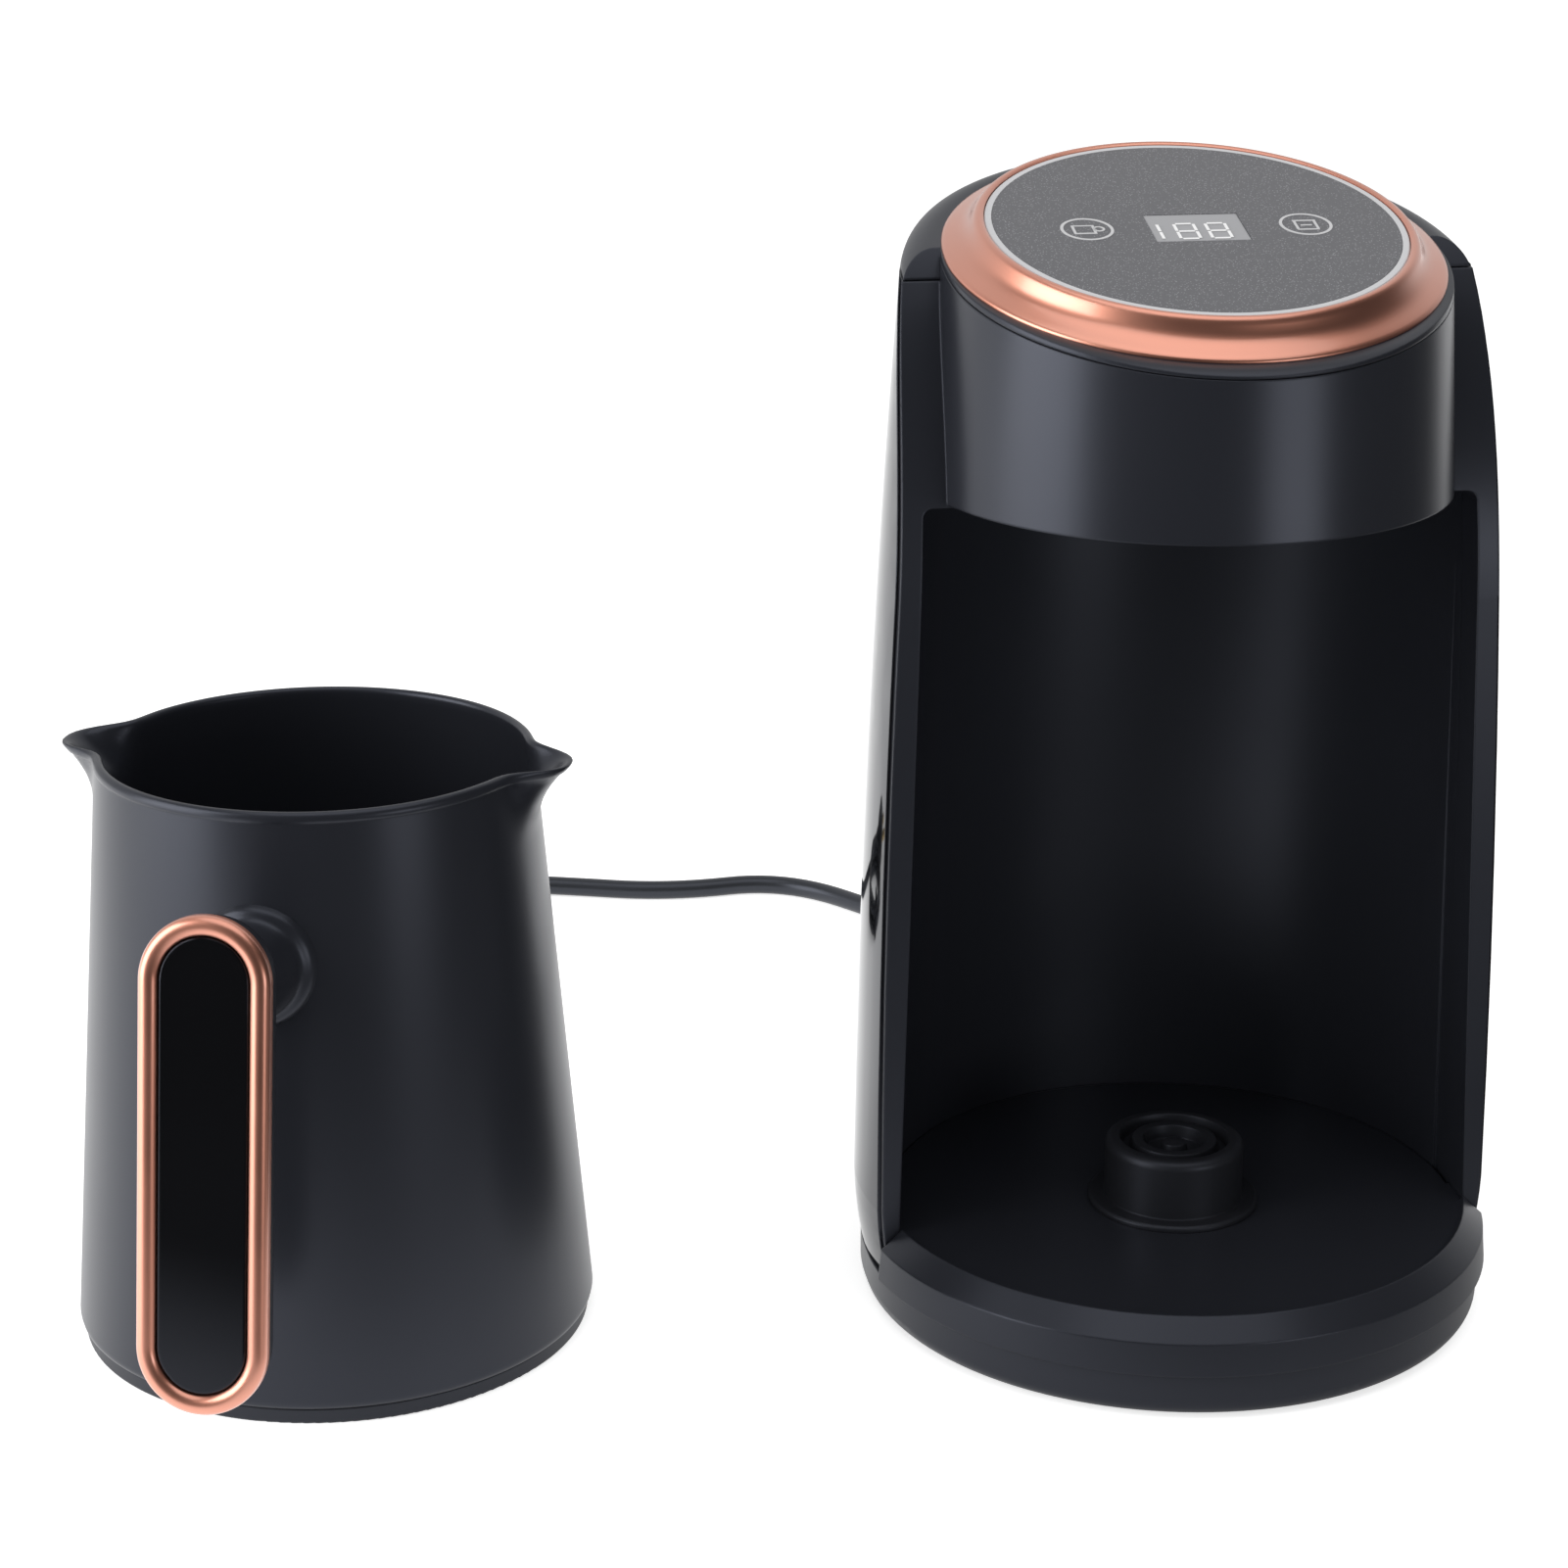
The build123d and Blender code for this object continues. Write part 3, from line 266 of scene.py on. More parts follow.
@dataclass(frozen=True)
class Metal(Finish):
    """Bare or coated metal with a soft sheen."""

    colour: Point = (0.6, 0.6, 0.6)
    roughness: float = 0.3
    grain: float = 0.04
    coat: float = 0.0
    coat_roughness: float = 0.15
    grain_scale: float = 3200.0
    grain_depth: float = 0.00003
    cloud_scale: float = 30.0
    cloud_tones: Pair = (0.94, 1.05)
    cloud_gloss: float = 0.1

    def build(self) -> bpy.types.Material:
        """Make the material.

        Returns:
            The node material.
        """
        material, tree, shader = self.start()
        shader.inputs["Metallic"].default_value = 1.0
        shader.inputs["Coat Weight"].default_value = self.coat
        shader.inputs["Coat Roughness"].default_value = self.coat_roughness
        cloud = self.noise(tree, self.cloud_scale)
        skin = self.noise(tree, self.grain_scale, 1.0)
        dark, light = (shade(self.colour, tone) for tone in self.cloud_tones)
        rough = self.vary(tree, cloud, self.roughness, self.cloud_gloss)
        normal = self.bump(tree, skin, self.grain, self.grain_depth)
        tree.links.new(blend(tree, cloud, dark, light), shader.inputs["Base Color"])
        tree.links.new(rough, shader.inputs["Roughness"])
        tree.links.new(normal, shader.inputs["Normal"])
        return material


@dataclass(frozen=True)
class Speckled(Finish):
    """Dark printed panel with fine pale specks under a clear skin."""

    colour: Point = (0.097, 0.098, 0.108)
    speck: Point = (0.34, 0.34, 0.36)
    speck_scale: float = 1500.0
    speck_fade: Pair = (0.30, 0.12)
    roughness: float = 0.3

    def build(self) -> bpy.types.Material:
        """Make the material.

        Returns:
            The node material.
        """
        material, tree, shader = self.start()
        where = tree.nodes.new("ShaderNodeTexCoord")
        cells = tree.nodes.new("ShaderNodeTexVoronoi")
        cells.inputs["Scale"].default_value = self.speck_scale
        tree.links.new(where.outputs["Object"], cells.inputs["Vector"])
        specks = ramp(tree, cells.outputs["Distance"], self.speck_fade).outputs["Result"]
        tree.links.new(blend(tree, specks, self.colour, self.speck), shader.inputs["Base Color"])
        shader.inputs["Roughness"].default_value = self.roughness
        return material


@dataclass(frozen=True)
class Lit(Finish):
    """Mark that glows so that it stays bright: a display's digit is lit for real, while on a printed mark the
    glow is painted light.
    """

    colour: Point = (0.9, 0.9, 0.9)
    glow: float = 0.0
    roughness: float = 0.4
    cloud_scale: float = 900.0
    cloud_tone: float = 0.9

    def build(self) -> bpy.types.Material:
        """Make the material.

        Returns:
            The node material.
        """
        material, tree, shader = self.start()
        cloud = self.noise(tree, self.cloud_scale)
        dim = shade(self.colour, self.cloud_tone)
        tree.links.new(blend(tree, cloud, dim, self.colour), shader.inputs["Base Color"])
        shader.inputs["Roughness"].default_value = self.roughness
        shader.inputs["Emission Color"].default_value = (*self.colour, 1)
        shader.inputs["Emission Strength"].default_value = self.glow
        return material


@dataclass
class Palette:
    """All finishes of the object, named as the record's slots where it has one."""

    matte: Finish = Plastic("matte_blue_black", (0.0152, 0.0163, 0.0208), Gloss.MATTE, 0.14)
    gloss: Finish = Plastic("gloss_black", (0.0030, 0.0030, 0.0034), Gloss.POLISHED, 0.0)
    satin: Finish = Plastic("satin_black", (0.012, 0.0125, 0.015), Gloss.SOFT, 0.08)
    rose: Finish = Metal("rose_gold", (0.82, 0.355, 0.25), 0.37, 0.04, 1.0)
    pale: Finish = Plastic("light_grey", (0.62, 0.62, 0.63), Gloss.SATIN, 0.05, edge=0.0003)
    panel: Finish = Speckled("panel_grey")
    window: Finish = Plastic("display_grey", (0.36, 0.36, 0.37), Gloss.SATIN, 0.0)
    rubber: Finish = Plastic("rubber", (0.02, 0.02, 0.02), Gloss.MATTE, 0.3, 1400.0)
    steel: Finish = Metal("steel", (0.6, 0.6, 0.61), 0.28)
    brass: Finish = Metal("brass", (0.74, 0.56, 0.28), 0.25)
    board: Finish = Plastic("circuit_board", (0.02, 0.12, 0.05), Gloss.SATIN, 0.1)
    case: Finish = Plastic("inner_plastic", (0.06, 0.06, 0.065), Gloss.SATIN, 0.1)
    cord: Finish = Plastic("cord_grey", (0.030, 0.032, 0.036), Gloss.MATTE, 0.2, 1800.0)
    tie: Finish = Plastic("tie_black", (0.015, 0.015, 0.015), Gloss.SATIN, 0.1)
    # printed key marks: print colour plus a faint painted glow that keeps them bright under any light
    marks: Finish = Lit("panel_print", (0.55, 0.55, 0.56), 0.12)
    digits: Finish = Lit("display_digits", (0.80, 0.80, 0.80), 0.18)

    def make(self) -> Paints:
        """Build every finish.

        Returns:
            Materials by finish name.
        """
        return {finish.name: finish.build() for finish in vars(self).values()}


def dress(obj: bpy.types.Object, material: bpy.types.Material) -> None:
    """Give an object one material in every slot.

    Args:
        obj: Object to dress.
        material: Material for all its faces.
    """
    if not obj.material_slots:
        obj.data.materials.append(material)
    for place in obj.material_slots:
        place.material = material


def new_piece(
    name: str, mesh: bmesh.types.BMesh, material: bpy.types.Material, body: str
) -> bpy.types.Object:
    """Turn a finished bmesh into a smooth piece that rides on a body.

    Args:
        name: Piece name.
        mesh: Finished shape in metres, in the object's own frame.
        material: Material for all its faces.
        body: Body that carries the piece.

    Returns:
        The new object.
    """
    bmesh.ops.remove_doubles(mesh, verts=mesh.verts, dist=MERGE)
    bmesh.ops.recalc_face_normals(mesh, faces=mesh.faces)
    for face in mesh.faces:
        face.smooth = True
    data = bpy.data.meshes.new(name)
    mesh.to_mesh(data)
    mesh.free()
    data.set_sharp_from_angle(angle=math.radians(SHARP_DEG))
    data.materials.append(material)
    obj = bpy.data.objects.new(name, data)
    bpy.context.scene.collection.objects.link(obj)
    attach(obj, body)
    LOG.info("piece %s on %s", name, body)
    return obj


@dataclass(frozen=True)
class SoftBox:
    """One soft box: its centre, the point that it faces, its width and height, and its power in watts."""

    name: str
    place: Point
    aim: Point
    size: Pair
    power: float

    def hang(self) -> None:
        """Hang the box."""
        data = bpy.data.lights.new(self.name, "AREA")
        data.shape = "RECTANGLE"
        data.size, data.size_y = self.size
        data.energy = self.power
        lamp = bpy.data.objects.new(self.name, data)
        lamp.location = self.place
        way = Vector(self.aim) - Vector(self.place)
        lamp.rotation_euler = way.to_track_quat("-Z", "Y").to_euler()
        bpy.context.scene.collection.objects.link(lamp)


@dataclass
class Studio:
    """Camera, soft boxes, world and floor, in metres.

    Attributes:
        eye: Place of the camera.
        yaw_deg: Turn of the camera to the right.
        pitch_deg: Downward tilt of the camera.
        focal_px: Focal length in pixels of the frame.
        frame_px: Width of the frame in pixels.
        sensor_mm: Width of the sensor.
        far: End of the camera's view.
        boxes: Soft boxes.
        plain: Strength of the world's plain light.
        front: Strength of world and floor in reflections, towards the front.
        backdrop: Strength of the world in reflections, towards the back.
        backdrop_fade: Range of a direction's Y between front and backdrop.
        floor_half: Half the floor's width.
        floor_rough: Roughness of the floor.
        floor_glow: Glow of the floor to the camera and in reflections.
        floor_tone: Grey of the floor.
        floor_fade: Range of the turned Y between the floor's dark front and its pale back.
        floor_fade_deg: Turn of that fade about the upright axis.
    """

    eye: Point = (-0.2170, -0.8180, 0.41525)
    yaw_deg: float = 7.98
    pitch_deg: float = 18.29
    focal_px: float = 3600.0
    frame_px: float = 1601.0
    sensor_mm: float = 36.0
    far: float = 50.0
    boxes: tuple[SoftBox, ...] = (
        SoftBox("box_left", (-1.62, -0.29, 0.62), (-0.1, 0.0, 0.15), (1.2, 1.5), 22.0),
        SoftBox("box_right", (0.50, -0.85, 0.15), (-0.1, 0.0, 0.12), (0.42, 0.28), 1.1),
        SoftBox("box_top", (-0.05, -0.25, 1.55), (-0.05, -0.05, 0.1), (1.6, 1.3), 8.0),
    )
    plain: float = 0.48
    front: float = 0.05
    backdrop: float = 0.68
    backdrop_fade: Pair = (0.10, 0.60)
    floor_half: float = 15.0
    floor_rough: float = 0.9
    floor_glow: float = 0.68
    floor_tone: float = 0.82
    floor_fade: Pair = (-0.22, 0.14)
    floor_fade_deg: float = -31.0

    def camera(self) -> None:
        """Set the camera at the photograph's angle."""
        data = bpy.data.cameras.new("camera")
        data.sensor_width = self.sensor_mm
        data.lens = self.sensor_mm * self.focal_px / self.frame_px
        data.clip_end = self.far
        camera = bpy.data.objects.new("camera", data)
        camera.location = self.eye
        camera.rotation_euler = (math.radians(90 - self.pitch_deg), 0, math.radians(-self.yaw_deg))
        bpy.context.scene.collection.objects.link(camera)
        bpy.context.scene.camera = camera

    def join(
        self, tree: bpy.types.NodeTree, how: str, first: bpy.types.NodeSocket, second: bpy.types.NodeSocket
    ) -> bpy.types.NodeSocket:
        """Combine two values.

        Args:
            tree: Node tree that gets the node.
            how: Operation of the math node.
            first: First value.
            second: Second value.

        Returns:
            The combined value's socket.
        """
        node = tree.nodes.new("ShaderNodeMath")
        node.operation = how
        tree.links.new(first, node.inputs[0])
        tree.links.new(second, node.inputs[1])
        return node.outputs[0]

    def rays(self, tree: bpy.types.NodeTree) -> tuple[bpy.types.NodeSocket, bpy.types.NodeSocket]:
        """Tell kinds of rays apart.

        Args:
            tree: Node tree that gets the nodes.

        Returns:
            A socket that is 1 for camera rays, and one for rays mirrored by or sent through a surface.
        """
        path = tree.nodes.new("ShaderNodeLightPath")
        mirrored = self.join(tree, "ADD", path.outputs["Is Glossy Ray"], path.outputs["Is Transmission Ray"])
        return path.outputs["Is Camera Ray"], mirrored

    def world(self) -> None:
        """Set the world: white to the camera, plain as light, and in reflections dark in front, pale behind."""
        world = bpy.data.worlds.new("world")
        bpy.context.scene.world = world
        world.use_nodes = True
        world.cycles.sampling_method = "NONE"
        tree = world.node_tree
        back = tree.nodes["Background"]
        back.inputs["Color"].default_value = WHITE
        where = tree.nodes.new("ShaderNodeTexCoord")
        parts = tree.nodes.new("ShaderNodeSeparateXYZ")
        tree.links.new(where.outputs["Generated"], parts.inputs["Vector"])
        behind = ramp(tree, parts.outputs["Y"], self.backdrop_fade, (self.front, self.backdrop), True)
        straight, mirrored = self.rays(tree)
        indirect = ramp(tree, mirrored, result=(self.plain, 1.0))
        tree.links.new(behind.outputs["Result"], indirect.inputs["To Max"])
        level = ramp(tree, straight)
        tree.links.new(indirect.outputs["Result"], level.inputs["To Min"])
        tree.links.new(level.outputs["Result"], back.inputs["Strength"])

    def floor_white(self) -> bpy.types.Material:
        """Make the floor's material, which is darker towards the front in reflections.

        Returns:
            The node material.
        """
        material = bpy.data.materials.new("floor_white")
        material.use_nodes = True
        material.cycles.emission_sampling = "NONE"
        tree = material.node_tree
        shader = tree.nodes["Principled BSDF"]
        shader.inputs["Roughness"].default_value = self.floor_rough
        shader.inputs["Specular IOR Level"].default_value = 0.0
        shader.inputs["Emission Color"].default_value = WHITE
        where = tree.nodes.new("ShaderNodeTexCoord")
        turn = tree.nodes.new("ShaderNodeMapping")
        turn.inputs["Rotation"].default_value = (0.0, 0.0, math.radians(self.floor_fade_deg))
        parts = tree.nodes.new("ShaderNodeSeparateXYZ")
        tree.links.new(where.outputs["Object"], turn.inputs["Vector"])
        tree.links.new(turn.outputs["Vector"], parts.inputs["Vector"])
        near = ramp(tree, parts.outputs["Y"], self.floor_fade, (self.front, 1.0), True)
        straight, mirrored = self.rays(tree)
        share = ramp(tree, mirrored, result=(1.0, 1.0))
        tree.links.new(near.outputs["Result"], share.inputs["To Max"])
        tone = (self.floor_tone, self.floor_tone, self.floor_tone)
        colour = blend(tree, share.outputs["Result"], (0.0, 0.0, 0.0), tone)
        tree.links.new(colour, shader.inputs["Base Color"])
        seen = self.join(tree, "ADD", mirrored, straight)
        seen = self.join(tree, "MULTIPLY", seen, share.outputs["Result"])
        level = ramp(tree, seen, result=(0.0, self.floor_glow))
        tree.links.new(level.outputs["Result"], shader.inputs["Emission Strength"])
        return material

    def floor(self) -> None:
        """Lay the pale floor."""
        mesh = bmesh.new()
        bmesh.ops.create_grid(mesh, x_segments=1, y_segments=1, size=self.floor_half)
        data = bpy.data.meshes.new("floor")
        mesh.to_mesh(data)
        mesh.free()
        data.materials.append(self.floor_white())
        floor = bpy.data.objects.new("floor", data)
        bpy.context.scene.collection.objects.link(floor)

    def build(self) -> None:
        """Set up the whole studio."""
        bpy.context.scene.view_settings.view_transform = "Standard"
        self.camera()
        for box in self.boxes:
            box.hang()
        self.world()
        self.floor()


@dataclass
class MainsCord:
    """Free cord with its put-away coil, in millimetres as in the part's source.

    Attributes:
        diameter: Diameter of the jacket.
        exit: Where the cord leaves the bush.
        coil_at: Centre of the coil.
        coil_radius: Outer radius of the coil.
        coil_pitch: How far the cord moves in with each turn.
        coil_turns: Turns of a layer.
        coil_climb: Turns over which the cord climbs to the upper layer.
        coil_low: Height of the lower layer.
        coil_rise: Height of the upper layer over the lower.
        per_turn: Route points in a turn.
        round_steps: Fineness of the jacket's round.
        run_steps: Steps between two route points.
        length: Length of the cord in metres; not used.
    """

    diameter: float = 6.2
    exit: Point = (6.0, 123.0, 20.0)
    coil_at: Pair = (-206.0, 285.0)
    coil_radius: float = 38.4
    coil_pitch: float = 7.0
    coil_turns: float = 1.25
    coil_climb: float = 0.5
    coil_low: float = 4.5
    coil_rise: float = 6.9
    per_turn: int = 16
    round_steps: int = 6
    run_steps: int = 10
    length: float = 1.0

    def free_route(self) -> list[Point]:
        """Points from the bush to the coil.

        Returns:
            Route points in millimetres.
        """
        low = self.diameter / 2
        top = self.coil_at[1] + self.coil_radius
        return [
            self.exit,
            (6.0, 142.0, 20.0),
            (7.0, 168.0, 9.5),
            (8.0, 200.0, low),
            (-3.0, 236.0, low),
            (-26.0, 272.0, low),
            (-58.0, 313.0, low),
            (-99.0, 306.0, low),
            (-136.0, 318.0, low),
            (-172.0, top, self.coil_low),
            (self.coil_at[0] + self.diameter, top, self.coil_low),
        ]

    def coil_route(self) -> list[Point]:
        """Points of the coil: in along the table, up a layer, and out again on top.

        Returns:
            Route points in millimetres.
        """
        swell = 1 / math.cos(math.pi / self.per_turn)
        total = 2 * self.coil_turns + self.coil_climb
        points = []
        for step in range(1, round(total * self.per_turn)):
            turn = step / self.per_turn
            along = min(turn, total - turn)
            climb = min(1.0, max(0.0, (turn - self.coil_turns) / self.coil_climb))
            radius = (self.coil_radius - self.coil_pitch * along) * swell
            angle = math.pi / 2 + 2 * math.pi * turn
            rise = self.coil_rise * (0.5 - 0.5 * math.cos(math.pi * climb))
            x = self.coil_at[0] + radius * math.cos(angle)
            y = self.coil_at[1] + radius * math.sin(angle)
            points.append((x, y, self.coil_low + rise))
        top = self.coil_at[1] + self.coil_radius
        high = self.coil_low + self.coil_rise
        points.append((self.coil_at[0], top, high))
        points.append((self.coil_at[0] - 2 * self.diameter, top, high))
        return points

    def build(self, material: bpy.types.Material) -> None:
        """Draw the cord as one smooth spline.

        Args:
            material: Jacket material.
        """
        route = self.free_route() + self.coil_route()
        curve = bpy.data.curves.new("cord", "CURVE")
        curve.dimensions = "3D"
        curve.bevel_depth = self.diameter / 2 * MM
        curve.bevel_resolution = self.round_steps
        curve.resolution_u = self.run_steps
        curve.use_fill_caps = True
        spline = curve.splines.new("NURBS")
        spline.points.add(len(route) - 1)
        for point, place in zip(spline.points, route):
            point.co = (*(v * MM for v in place), 1)
        spline.order_u = 3
        spline.use_endpoint_u = True
        curve.materials.append(material)
        cord = bpy.data.objects.new("cord", curve)
        bpy.context.scene.collection.objects.link(cord)
        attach(cord, DOCK)
        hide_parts("mains_cord", "cord_coil")
        LOG.info("piece cord with %d points", len(route))


@dataclass
class RingLoft:
    """Closed loops drawn out one after another, each laid by a rule of its angle, in millimetres."""

    segments: int
    mesh: bmesh.types.BMesh = field(default_factory=bmesh.new)
    edges: list[bmesh.types.BMEdge] = field(default_factory=list)

    def lay(self, verts: list[bmesh.types.BMVert], rule: Rule) -> None:
        """Put a loop's points where the rule says.

        Args:
            verts: Points of the loop.
            rule: Place in millimetres for an angle in radians.
        """
        angle = self.mesh.verts.layers.float["angle"]
        for vert in verts:
            vert.co = Vector(rule(vert[angle])) * MM

    def begin(self, rule: Rule) -> None:
        """Start with the first loop.

        Args:
            rule: Place in millimetres for an angle in radians.
        """
        angle = self.mesh.verts.layers.float.new("angle")
        verts = bmesh.ops.create_circle(self.mesh, segments=self.segments, radius=1.0)["verts"]
        for vert in verts:
            vert[angle] = math.atan2(vert.co.y, vert.co.x)
        self.edges = list(self.mesh.edges)
        self.lay(verts, rule)

    def draw(self, rule: Rule) -> None:
        """Draw the open loop out to the next one.

        Args:
            rule: Place in millimetres for an angle in radians.
        """
        made = bmesh.ops.extrude_edge_only(self.mesh, edges=self.edges)["geom"]
        verts = [item for item in made if isinstance(item, bmesh.types.BMVert)]
        edges = [item for item in made if isinstance(item, bmesh.types.BMEdge)]
        fresh = set(verts)
        self.edges = [edge for edge in edges if fresh.issuperset(edge.verts)]
        self.lay(verts, rule)

    def follow(self, rules: list[Rule]) -> RingLoft:
        """Draw all loops in order.

        Args:
            rules: Rule of each loop.

        Returns:
            This loft.
        """
        self.begin(rules[0])
        for rule in rules[1:]:
            self.draw(rule)
        return self

    def stand(self, place: Pair, degrees: float) -> None:
        """Turn the shape about the upright axis and set it at its place.

        Args:
            place: Place along X and Y in millimetres.
            degrees: Turn about the upright axis.
        """
        move = Matrix.Translation((place[0] * MM, place[1] * MM, 0))
        turn = Matrix.Rotation(math.radians(degrees), 4, "Z")
        bmesh.ops.transform(self.mesh, matrix=move @ turn, verts=self.mesh.verts)


@dataclass
class JugBody:
    """Jug wall with two dipped spouts, a beaded rim and the heater's ledge, and the handle's tapered neck.

    Attributes:
        low: Height and radius of the wall's foot.
        rim: Height and radius of the rim.
        wall: Thickness of the wall.
        foot: Rows of the foot's round edge, as rise and inset.
        belts: Heights of two loops on the plain wall.
        levels: Steps from the spouts' foot to the rim.
        oval: How much the rim's radius grows towards the spouts.
        bead: How far the rim's bead stands out.
        bead_foot: Rows from the wall to the bead, as share of the bead and rise.
        bead_deg: Angles of the rows round the bead.
        spout_from: Height where the spouts begin.
        spout_reach: How far a spout stands out at the rim.
        spout_deg: Half width of a spout.
        spout_blunt: How blunt a spout is in plan.
        spout_flare: How late a spout flares as it rises.
        dip_from: Distance from the axis where the rim begins to dip.
        dip_slope: Slope of the dip.
        dip_ease: Length over which the dip eases in.
        ledge: Inner radius, top and underside of the heater's ledge.
        ledge_round: Rows of the hollow over the ledge, as rise and inset.
        neck_z: Height of the neck's axis.
        neck_end: Where the neck meets the grip.
        neck_base: Rows of the neck's base in the wall, as radius and height over the wall.
        neck_root: Rows of the neck's rounded root and taper, likewise.
        neck_level: Height over the wall from which a row no longer follows the wall.
        neck_tip: Radii of the rows of the neck's flat end.
        wall_segments: Points of a loop of the wall.
        neck_segments: Points of a loop of the neck.
    """

    low: Pair = (4.2, 65.8)
    rim: Pair = (152.0, 51.6)
    wall: float = 2.2
    foot: tuple[Pair, ...] = ((0.0, 1.6), (0.15, 0.9), (0.6, 0.3), (1.5, 0.0), (2.2, 0.0))
    belts: Pair = (60.0, 110.0)
    levels: int = 9
    oval: float = 2.2
    bead: float = 0.35
    bead_foot: tuple[Pair, ...] = ((0.7, 0.25), (1.0, 0.6))
    bead_deg: tuple[float, ...] = (0, 30, 60, 90, 120, 150)
    spout_from: float = 132.0
    spout_reach: float = 12.2
    spout_deg: float = 10.3
    spout_blunt: float = 2.7
    spout_flare: float = 2.1
    dip_from: float = 47.6
    dip_slope: float = 0.05
    dip_ease: float = 1.5
    ledge: Point = (54.0, 27.0, 24.6)
    ledge_round: tuple[Pair, ...] = ((1.0, 0.0), (0.3, 0.3), (0.0, 1.0))
    neck_z: float = 115.0
    neck_end: float = -84.1
    neck_base: tuple[Pair, ...] = ((0.0, -1.2), (6.0, -1.2), (11.0, -1.2), (15.0, -1.2), (15.0, -0.06))
    neck_root: tuple[Pair, ...] = (
        (14.75, 0.25),
        (14.55, 0.8),
        (14.2, 1.35),
        (13.7, 1.75),
        (13.1, 2.0),
        (12.5, 2.25),
        (12.05, 2.65),
        (11.7, 3.3),
        (11.4, 4.4),
        (11.1, 6.0),
        (10.8, 8.0),
        (10.4, 10.8),
        (9.9, 14.4),
        (9.4, 18.0),
        (8.9, 22.0),
        (8.5, 25.5),
    )
    neck_level: float = 12.0
    neck_tip: tuple[float, ...] = (8.5, 4.0, 0.0)
    wall_segments: int = 180
    neck_segments: int = 64

    def radius(self, angle: float, z: float) -> float:
        """Outer radius of the wall.

        Args:
            angle: Angle from the spouts' axis in radians.
            z: Height.

        Returns:
            The radius in millimetres.
        """
        share = (z - self.low[0]) / (self.rim[0] - self.low[0])
        rise = max(0.0, (z - self.spout_from) / (self.rim[0] - self.spout_from))
        off = math.degrees(math.atan2(abs(math.sin(angle)), abs(math.cos(angle))))
        plain = self.low[1] + (self.rim[1] - self.low[1]) * share
        plan = math.exp(-((off / self.spout_deg) ** self.spout_blunt))
        beak = self.spout_reach * rise**self.spout_flare * plan
        return plain + self.oval * share * math.cos(angle) ** 2 + beak

    def top(self, angle: float) -> float:
        """Height of the rim, which dips towards the spouts.

        Args:
            angle: Angle from the spouts' axis in radians.

        Returns:
            The height in millimetres.
        """
        out = max(0.0, abs(self.radius(angle, self.rim[0]) * math.cos(angle)) - self.dip_from)
        return self.rim[0] - self.dip_slope * (out**2 / (out + self.dip_ease))

    def at(self, z: float, inset: float) -> Rule:
        """Rule of a level loop on the wall.

        Args:
            z: Height of the loop.
            inset: How far it is drawn in from the outside.

        Returns:
            The rule.
        """

        def rule(angle: float) -> Point:
            reach = self.radius(angle, z) - inset
            return reach * math.cos(angle), reach * math.sin(angle), z

        return rule

    def up(self, share: float, inset: float, drop: float) -> Rule:
        """Rule of a loop in the spouts' zone, which follows the rim.

        Args:
            share: Place between the zone's foot at 0 and the rim at 1.
            inset: How far it is drawn in from the outside.
            drop: How far the zone's top lies below the rim.

        Returns:
            The rule.
        """

        def rule(angle: float) -> Point:
            z = self.spout_from + share * (self.top(angle) - drop - self.spout_from)
            reach = self.radius(angle, z) - inset
            return reach * math.cos(angle), reach * math.sin(angle), z

        return rule

    def disc(self, radius: float, z: float) -> Rule:
        """Rule of a plain circle.

        Args:
            radius: Radius of the circle.
            z: Its height.

        Returns:
            The rule.
        """
        return lambda angle: (radius * math.cos(angle), radius * math.sin(angle), z)

    def rim_rules(self) -> list[Rule]:
        """Rules up the spouts' zone outside, over the beaded rim and down the zone inside.

        Returns:
            The rules in order.
        """
        half = (self.wall + self.bead) / 2
        climb = [step / self.levels for step in range(self.levels + 1)]
        rules = [self.up(share, 0.0, 2 * half) for share in climb]
        rules += [self.up(1.0, -share * self.bead, 2 * half - rise) for share, rise in self.bead_foot]
        for degrees in self.bead_deg:
            turn = math.radians(degrees)
            inset = half - self.bead - half * math.cos(turn)
            rules.append(self.up(1.0, inset, half - half * math.sin(turn)))
        return rules + [self.up(share, self.wall, half) for share in reversed(climb)]

    def shell(self) -> RingLoft:
        """Draw the wall out from its foot, over the rim and down inside.

        Returns:
            The finished loops.
        """
        low, wall = self.low[0], self.wall
        reach, top, under = self.ledge
        rules = [self.at(low, wall)]
        rules += [self.at(low + rise, inset) for rise, inset in self.foot]
        rules += [self.at(z, 0.0) for z in self.belts]
        rules += self.rim_rules()
        rules += [self.at(z, wall) for z in reversed(self.belts)]
        rules += [self.at(top + rise, wall + inset) for rise, inset in self.ledge_round]
        rules += [self.disc(reach, top), self.disc(reach, under)]
        rules += [self.at(under, wall), self.at(low, wall)]
        return RingLoft(self.wall_segments).follow(rules)

    def stalk(self, across: float, out: float, flat: float) -> Rule:
        """Rule of a loop round the neck.

        Args:
            across: Radius of the loop about the neck's axis.
            out: How far it stands out from the wall.
            flat: 0 where the loop follows the wall, 1 where it is level.

        Returns:
            The rule.
        """

        def rule(angle: float) -> Point:
            x, z = across * math.cos(angle), self.neck_z + across * math.sin(angle)
            skin = -math.sqrt(self.radius(-math.pi / 2, z) ** 2 - x * x)
            level = -self.radius(-math.pi / 2, self.neck_z)
            return x, (1 - flat) * skin + flat * level - out, z

        return rule

